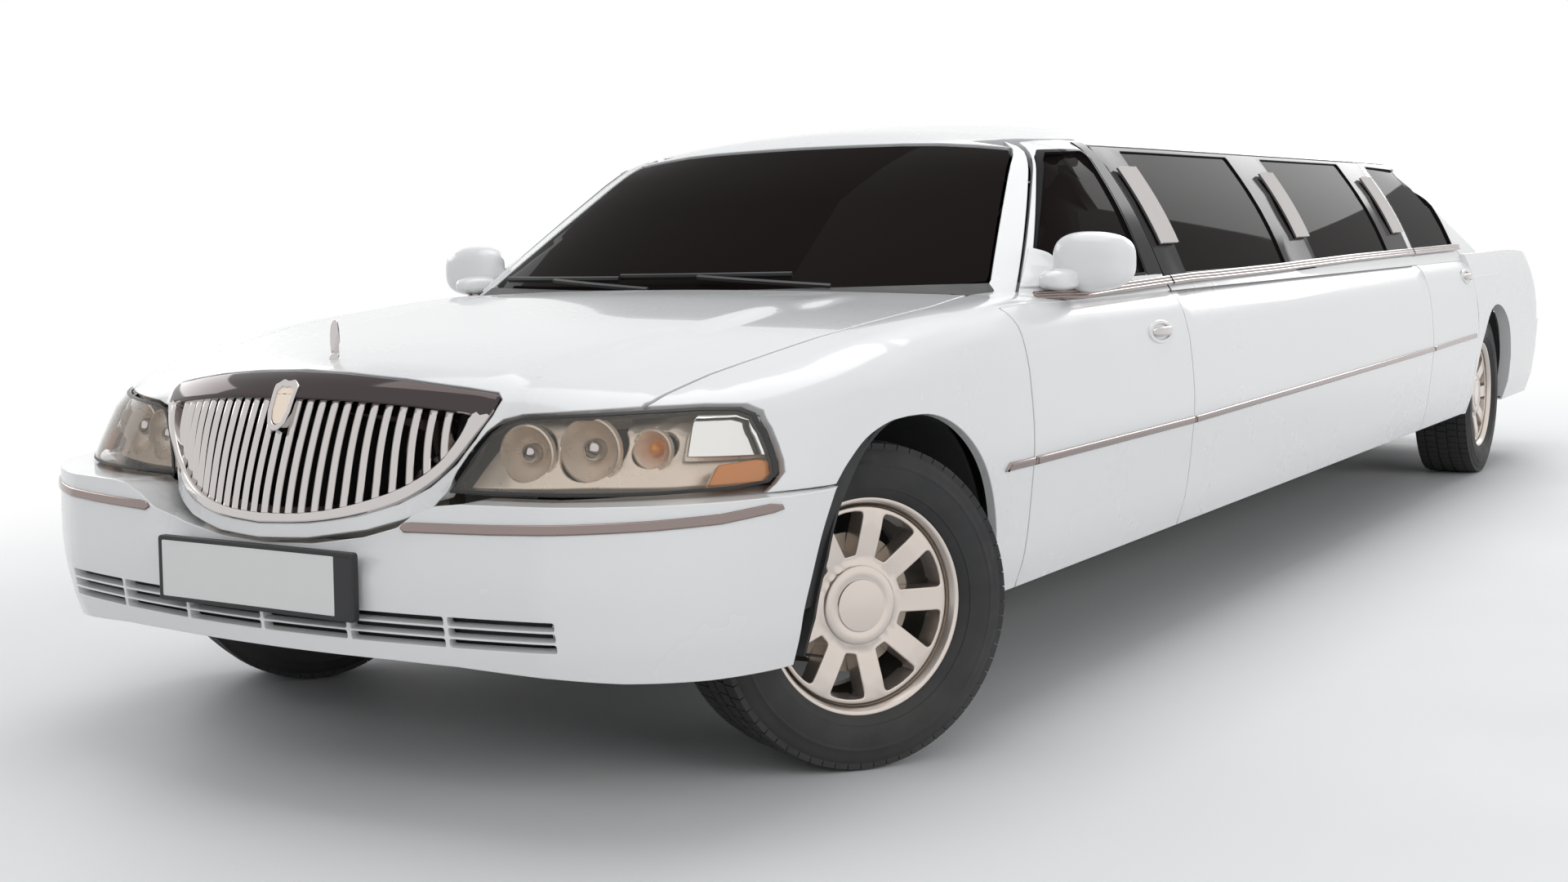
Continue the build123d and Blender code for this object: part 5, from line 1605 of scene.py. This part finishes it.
def mm(name):
    """A length among the sizes, in millimetres."""
    return getattr(sizes(), name) * 1000.0


def length(label, description, value, low, high):
    """A length that the user may change."""
    return bpy.props.FloatProperty(name=label, description=description, default=value, min=low, max=high, unit="LENGTH")


def count(label, description, value, low, high):
    """A count that the user may change."""
    return bpy.props.IntProperty(name=label, description=description, default=value, min=low, max=high)


def colour(label, description, value):
    """A colour that the user may change."""
    return bpy.props.FloatVectorProperty(
        name=label, description=description, default=value, size=3, min=0.0, max=1.0, subtype="COLOR",
    )


class LimousineSizes(bpy.types.PropertyGroup):
    """Sizes and counts of the repeated trim."""

    intake_width: length("Intake half width", "Half the width of the bumper's lower openings", 0.656, 0.3, 0.68)
    intake_columns: count("Intake columns", "Openings across the bumper's lower intake", 6, 2, 12)
    slats: count("Grille bars", "Upright bars in the grille", 27, 5, 41)
    slat_pitch: length("Grille bar pitch", "Distance from bar to bar", 0.0298, 0.02, 0.08)
    slat_width: length("Grille bar width", "Width of each bar", 0.0185, 0.004, 0.03)
    louvre_ribs: count("Louvre ribs", "Upright ribs in each pillar louvre", 6, 2, 12)
    spokes: count("Spokes", "Spokes in each road wheel", 9, 5, 12)
    tread_pitches: count("Tread pitches", "Rows of tread blocks round a tyre", 68, 30, 90)


class LimousineColours(bpy.types.PropertyGroup):
    """Colours of the main finishes."""

    paint: colour("Paint", "Body paint", (0.78, 0.78, 0.775))
    glass: colour("Glass", "Tint of the windows", (0.012, 0.009, 0.008))
    wheels: colour("Wheels", "Cast road wheels", (0.74, 0.66, 0.60))
    floor: colour("Floor", "Studio floor", (0.82, 0.82, 0.82))


class LIMOUSINE_OT_cad_finishes(bpy.types.Operator):
    """Give every carried-over CAD node its finish"""

    bl_idname = "limousine.cad_finishes"
    bl_label = "CAD finishes"

    def execute(self, context):
        for part in FRAME["record"]["subparts"]:
            name = part["material_slot"]
            for slot in FRAME["nodes"][part["node"]].material_slots:
                slot.material = finish(CAD_FINISHES.get(name, name))
        return {"FINISHED"}


class LIMOUSINE_OT_front(bpy.types.Operator):
    """Build the front bumper, the wings and the bonnet"""

    bl_idname = "limousine.front"
    bl_label = "Front panels"

    def execute(self, context):
        piece("bumper_front", front_bumper(), ["body_paint"], "body", ["front_bumper"])
        piece("wings", both(front_fender()), ["body_paint"], "body", ["front_fenders"])
        piece("bonnet_panel", bonnet(), ["body_paint", "door_lining"], "bonnet", ["hood"])
        piece("bumper_strips", both(bumper_strip()), ["warm_chrome"], "body", ())
        # The intake screen is partly the bumper's black backing and partly painted shade in its lower openings
        piece("intake_screen", intake_shade_back(), ["black_trim"], "body", ())
        piece("arch_edges", both(arch_fill()), ["liner_plastic"], "body", ())
        return {"FINISHED"}


class LIMOUSINE_OT_grille(bpy.types.Operator):
    """Build the grille with its bars and its plain shield"""

    bl_idname = "limousine.grille"
    bl_label = "Grille"

    def execute(self, context):
        piece("grille_frame", grille_frame(), ["bright_chrome", "dark_chrome"], "bonnet", ["grille"])
        piece("grille_bars", grille_slats(), ["bright_chrome"], "bonnet", ())
        piece("grille_screen", grille_back(), ["black_trim"], "bonnet", ())
        piece("grille_shield", shield(), ["bright_chrome", "lamp_bowl"], "bonnet", ())
        piece("bonnet_fin", ornament(), ["bright_chrome"], "bonnet", ["hood_ornament"])
        return {"FINISHED"}


class LIMOUSINE_OT_headlamps(bpy.types.Operator):
    """Build both headlamps: lens, edge, reflectors and turn lamps"""

    bl_idname = "limousine.headlamps"
    bl_label = "Headlamps"

    def execute(self, context):
        lens, loop = lamp_lens()
        clear_lens("lamp_cover", 0.10)
        piece("lamp_covers", both(lens), ["lamp_cover"], "body", ["headlamps"])
        piece("lamp_edges", both(lamp_bezel(loop)), ["black_trim"], "body", ())
        coats = ["bulb_shroud", "lamp_bowl", "amber_lens", "bright_chrome"]
        piece("lamp_insides", both(lamp_inside()), coats, "body", ())
        return {"FINISHED"}


class LIMOUSINE_OT_doors(bpy.types.Operator):
    """Build the four doors with their windows, handles and trim"""

    bl_idname = "limousine.doors"
    bl_label = "Doors"

    def execute(self, context):
        for name in ("front", "rear"):
            d = DOORS[name]
            skin = door_lower(name).join(door_frame(name))
            glass, seal, band = pane(name), window_seal(name), door_band()
            strip, belt = side_strip(*d["strip"]), belt_strip(*d["belt"])
            lever = handle(*HANDLES[name])
            for word, turn in (("left", lambda s: s), ("right", lambda s: s.mirrored())):
                body = f"door_{name}_{word}"
                piece(f"door_{name}_{word}_skin", turn(skin), ["body_paint", "door_lining"], body, [body])
                pane_node = f"glass_{name}_{word}"
                piece(f"door_{name}_{word}_pane", turn(glass), ["tinted_glass"], body, [pane_node])
                piece(f"door_{name}_{word}_seal", turn(seal), ["black_gloss"], body, ())
                piece(f"door_{name}_{word}_strip", turn(strip), ["warm_chrome"], body, ())
                piece(f"door_{name}_{word}_belt", turn(belt), ["warm_chrome"], body, ())
                coats = ["body_paint", "bright_chrome"]
                piece(f"door_{name}_{word}_handle", turn(lever), coats, body, ())
                if name == "front":
                    piece(f"door_front_{word}_band", turn(band), ["black_gloss"], body, ())
                    coats = ["body_paint", "black_trim", "mirror_glass"]
                    piece(f"mirror_{word}", turn(mirror()), coats, body, ())
        return {"FINISHED"}


class LIMOUSINE_OT_stretch(bpy.types.Operator):
    """Build the long side panels, their glass and their trim"""

    bl_idname = "limousine.stretch"
    bl_label = "Stretch"

    def execute(self, context):
        skin = both(stretch_lower())
        piece("stretch_panels", skin, ["body_paint"], "body", ["stretch_sides"])
        piece("stretch_pillars", both(stretch_band()), ["black_gloss"], "body", ())
        piece("stretch_waist", both(stretch_waist()), ["body_paint"], "body", ())
        glass = both(Shell().join(pane("first"), pane("second")))
        piece("stretch_panes", glass, ["tinted_glass"], "body", ["stretch_glass"])
        piece("stretch_strips", both(side_strip(1752.0, 4740.0)), ["warm_chrome"], "body", ())
        piece("wing_strips", both(side_strip(407.0, 565.0, True)), ["warm_chrome"], "body", ())
        piece("stretch_belts", both(belt_strip(1752.0, 4740.0)), ["warm_chrome"], "body", ())
        ribs = Shell()
        for station in LOUVRES:
            ribs.join(louvre(station))
        piece("stretch_louvres", both(ribs), ["bright_chrome"], "body", ())
        return {"FINISHED"}


class LIMOUSINE_OT_top(bpy.types.Operator):
    """Build the roof, the windscreen, the rear window and their pillars"""

    bl_idname = "limousine.top"
    bl_label = "Roof and screens"

    def execute(self, context):
        piece("roof_panel", roof(), ["body_paint", "door_lining"], "body", ["roof"])
        front, rear = screen_glass(SCREEN, "front"), screen_glass(BACK_SCREEN, "rear")
        piece("windscreen_glass", front, ["tinted_glass"], "body", ["windscreen"])
        piece("rear_glass", rear, ["tinted_glass"], "body", ["rear_window"])
        piece("screen_pillars", both(windscreen_pillar()), ["body_paint"], "body", ())
        arms = wiper((430.0, 1003.0), (60.0, 1030.0), 250.0)
        arms.join(wiper((-60.0, 1000.0), (-430.0, 1024.0), 240.0))
        piece("wipers", arms, ["black_trim"], "body", ())
        return {"FINISHED"}


class LIMOUSINE_OT_wheels(bpy.types.Operator):
    """Build the road wheels and the tyres with their tread"""

    bl_idname = "limousine.wheels"
    bl_label = "Wheels"

    def execute(self, context):
        rim, tyre = rim_shell(), tyre_shell()
        tyre.join(repeated("tread", tread_pitch(), sizes().tread_pitches, finish("tyre_rubber")))
        for name, (centre, axis) in wheel_frames().items():
            body = "wheel_" + name
            metal = ["wheel_silver", "wheel_barrel"]
            piece(f"{name}_rim", rim.turned(centre, axis), metal, body, ["rim_" + name])
            piece(f"{name}_tyre", tyre.turned(centre, axis), ["tyre_rubber"], body, ["tyre_" + name])
        return {"FINISHED"}


class LIMOUSINE_OT_plate(bpy.types.Operator):
    """Build the number plate's holder, with a blank plate"""

    bl_idname = "limousine.plate"
    bl_label = "Number plate"

    def execute(self, context):
        coats = ["black_trim", "blank_plate", "plate_end"]
        piece("front_plate", number_plate(), coats, "body", ["plate_holder"])
        return {"FINISHED"}


def look(location, yaw, pitch, roll):
    """A camera's matrix from its place and its turn, yaw measured from +Y."""
    (cy, sy), (cp, sp), (cr, sr) = ((math.cos(a), math.sin(a)) for a in (yaw, pitch, roll))
    ahead = Vector((sy * cp, cy * cp, -sp))
    right = Vector((cy, -sy, 0.0))
    over = right.cross(ahead)
    across = right * cr + over * sr
    upward = over * cr - right * sr
    matrix = Matrix((across, upward, -ahead)).transposed().to_4x4()
    matrix.translation = location
    return matrix


def seen_rays(nodes, link):
    """1 for the rays that should meet the plain background: camera, glossy and transmission ones."""
    path, first, second = nodes.new("ShaderNodeLightPath"), nodes.new("ShaderNodeMath"), nodes.new("ShaderNodeMath")
    first.operation = second.operation = "MAXIMUM"
    link(path.outputs["Is Glossy Ray"], first.inputs[0])
    link(path.outputs["Is Transmission Ray"], first.inputs[1])
    link(path.outputs["Is Camera Ray"], second.inputs[0])
    link(first.outputs[0], second.inputs[1])
    return second.outputs[0]


def floor_finish():
    """A pale floor that turns to the plain white background away from the car."""
    material = finish("floor")
    nodes, link = material.node_tree.nodes, material.node_tree.links.new
    place, squeeze = nodes.new("ShaderNodeTexCoord"), nodes.new("ShaderNodeVectorMath")
    far, fade = nodes.new("ShaderNodeVectorMath"), nodes.new("ShaderNodeMapRange")
    part, white, mix = nodes.new("ShaderNodeMath"), nodes.new("ShaderNodeEmission"), nodes.new("ShaderNodeMixShader")
    squeeze.operation, far.operation, part.operation = "MULTIPLY", "LENGTH", "MULTIPLY"
    squeeze.inputs[1].default_value = (1.0, 0.5, 0.0)
    fade.interpolation_type = "SMOOTHSTEP"
    fade.inputs["From Min"].default_value, fade.inputs["From Max"].default_value = 2.2, 4.4
    link(place.outputs["Object"], squeeze.inputs[0])
    link(squeeze.outputs["Vector"], far.inputs[0])
    link(far.outputs["Value"], fade.inputs["Value"])
    link(seen_rays(nodes, link), part.inputs[0])
    link(fade.outputs["Result"], part.inputs[1])
    link(part.outputs[0], mix.inputs[0])
    link(nodes["Principled BSDF"].outputs[0], mix.inputs[1])
    link(white.outputs[0], mix.inputs[2])
    link(mix.outputs[0], nodes["Material Output"].inputs["Surface"])
    return material


def studio_world():
    """A soft sky that lights the car, seen as plain white."""
    world = bpy.data.worlds.new("studio")
    world.use_nodes = True
    nodes, link = world.node_tree.nodes, world.node_tree.links.new
    nodes.clear()
    out, mix = nodes.new("ShaderNodeOutputWorld"), nodes.new("ShaderNodeMixShader")
    seen, lit = nodes.new("ShaderNodeBackground"), nodes.new("ShaderNodeBackground")
    seen.inputs["Color"].default_value = (1, 1, 1, 1)
    lit.inputs["Color"].default_value = (0.80, 0.84, 0.90, 1)
    lit.inputs["Strength"].default_value = 0.42
    link(seen_rays(nodes, link), mix.inputs[0])
    link(lit.outputs[0], mix.inputs[1])
    link(seen.outputs[0], mix.inputs[2])
    link(mix.outputs[0], out.inputs["Surface"])
    return world


# The camera that matches the picture: its focal length and the frame's width in pixels, and yaw, pitch and roll
FOCAL_PIXELS, FRAME_PIXELS = 2451.75, 1920.0
CAMERA_SHIFT = (0.2461, -0.0229)
CAMERA_PLACE = (2.7233, -7.1798, 1.1328)
CAMERA_TURN = (-0.6749, 0.0791, -0.0259)
FLOOR_REACH = 60.0
# Name, place, target, width, height and power
SOFTBOXES = [
    ("over", (0.0, 0.0, 6.5), (0.0, 0.0, 0.0), 4.0, 11.0, 215.0),
    ("front", (1.5, -9.5, 4.0), (0.0, -3.0, 0.6), 7.0, 3.5, 110.0),
    ("left", (9.0, -2.5, 3.8), (0.0, -0.5, 0.8), 11.0, 3.2, 250.0),
    ("right", (-9.0, 0.0, 4.5), (0.0, 0.0, 0.8), 10.0, 3.0, 220.0),
    ("rear", (0.0, 10.5, 4.5), (0.0, 2.0, 0.8), 6.0, 3.0, 220.0),
]


class LIMOUSINE_OT_stage(bpy.types.Operator):
    """Set up the floor, the lights, the world and the camera"""

    bl_idname = "limousine.stage"
    bl_label = "Stage"

    def execute(self, context):
        scene = context.scene
        scene.view_settings.view_transform = "Standard"
        for name, place, target, width, height, power in SOFTBOXES:
            light = bpy.data.lights.new("softbox_" + name, "AREA")
            light.shape, light.size, light.size_y, light.energy = "RECTANGLE", width, height, power
            holder = bpy.data.objects.new("softbox_" + name, light)
            holder.location = place
            holder.rotation_euler = (Vector(target) - Vector(place)).to_track_quat("-Z", "Y").to_euler()
            holder.visible_glossy = name not in ("left", "front")
            scene.collection.objects.link(holder)
        scene.world = studio_world()
        floor = bpy.data.meshes.new("floor")
        corners = [(x * FLOOR_REACH, y * FLOOR_REACH, 0) for x, y in ((-1, -1), (1, -1), (1, 1), (-1, 1))]
        floor.from_pydata(corners, [], [(0, 1, 2, 3)])
        floor.materials.append(floor_finish())
        ground = bpy.data.objects.new("floor", floor)
        scene.collection.objects.link(ground)

        camera = bpy.data.cameras.new("camera")
        camera.sensor_width, camera.lens = 36.0, FOCAL_PIXELS / FRAME_PIXELS * 36.0
        camera.shift_x, camera.shift_y = CAMERA_SHIFT
        camera.clip_end = 300.0
        viewer = bpy.data.objects.new("camera", camera)
        viewer.matrix_world = look(CAMERA_PLACE, *CAMERA_TURN)
        scene.collection.objects.link(viewer)
        scene.camera = viewer
        return {"FINISHED"}


OPERATORS = (
    LIMOUSINE_OT_cad_finishes, LIMOUSINE_OT_front, LIMOUSINE_OT_grille, LIMOUSINE_OT_headlamps, LIMOUSINE_OT_doors,
    LIMOUSINE_OT_stretch, LIMOUSINE_OT_top, LIMOUSINE_OT_wheels, LIMOUSINE_OT_plate, LIMOUSINE_OT_stage,
)


class LIMOUSINE_PT_panel(bpy.types.Panel):
    """The limousine's sizes, colours and build steps"""

    bl_label = "Limousine"
    bl_idname = "LIMOUSINE_PT_panel"
    bl_space_type = "VIEW_3D"
    bl_region_type = "UI"
    bl_category = "Limousine"

    def draw(self, context):
        for group in (context.scene.limousine_sizes, context.scene.limousine_colours):
            for name in group.__annotations__:
                self.layout.prop(group, name)
        for operator in OPERATORS:
            self.layout.operator(operator.bl_idname)


CLASSES = (LimousineSizes, LimousineColours) + OPERATORS + (LIMOUSINE_PT_panel,)


def register():
    """Register the classes, and put the settings on the scene."""
    for item in CLASSES:
        bpy.utils.register_class(item)
    bpy.types.Scene.limousine_sizes = bpy.props.PointerProperty(type=LimousineSizes)
    bpy.types.Scene.limousine_colours = bpy.props.PointerProperty(type=LimousineColours)


def unregister():
    """Take the settings and the classes away again."""
    del bpy.types.Scene.limousine_colours
    del bpy.types.Scene.limousine_sizes
    for item in reversed(CLASSES):
        bpy.utils.unregister_class(item)


def main():
    """Build the car and its stage."""
    register()
    for operator in OPERATORS:
        group, name = operator.bl_idname.split(".")
        getattr(getattr(bpy.ops, group), name)()


if __name__ == "__main__":
    main()
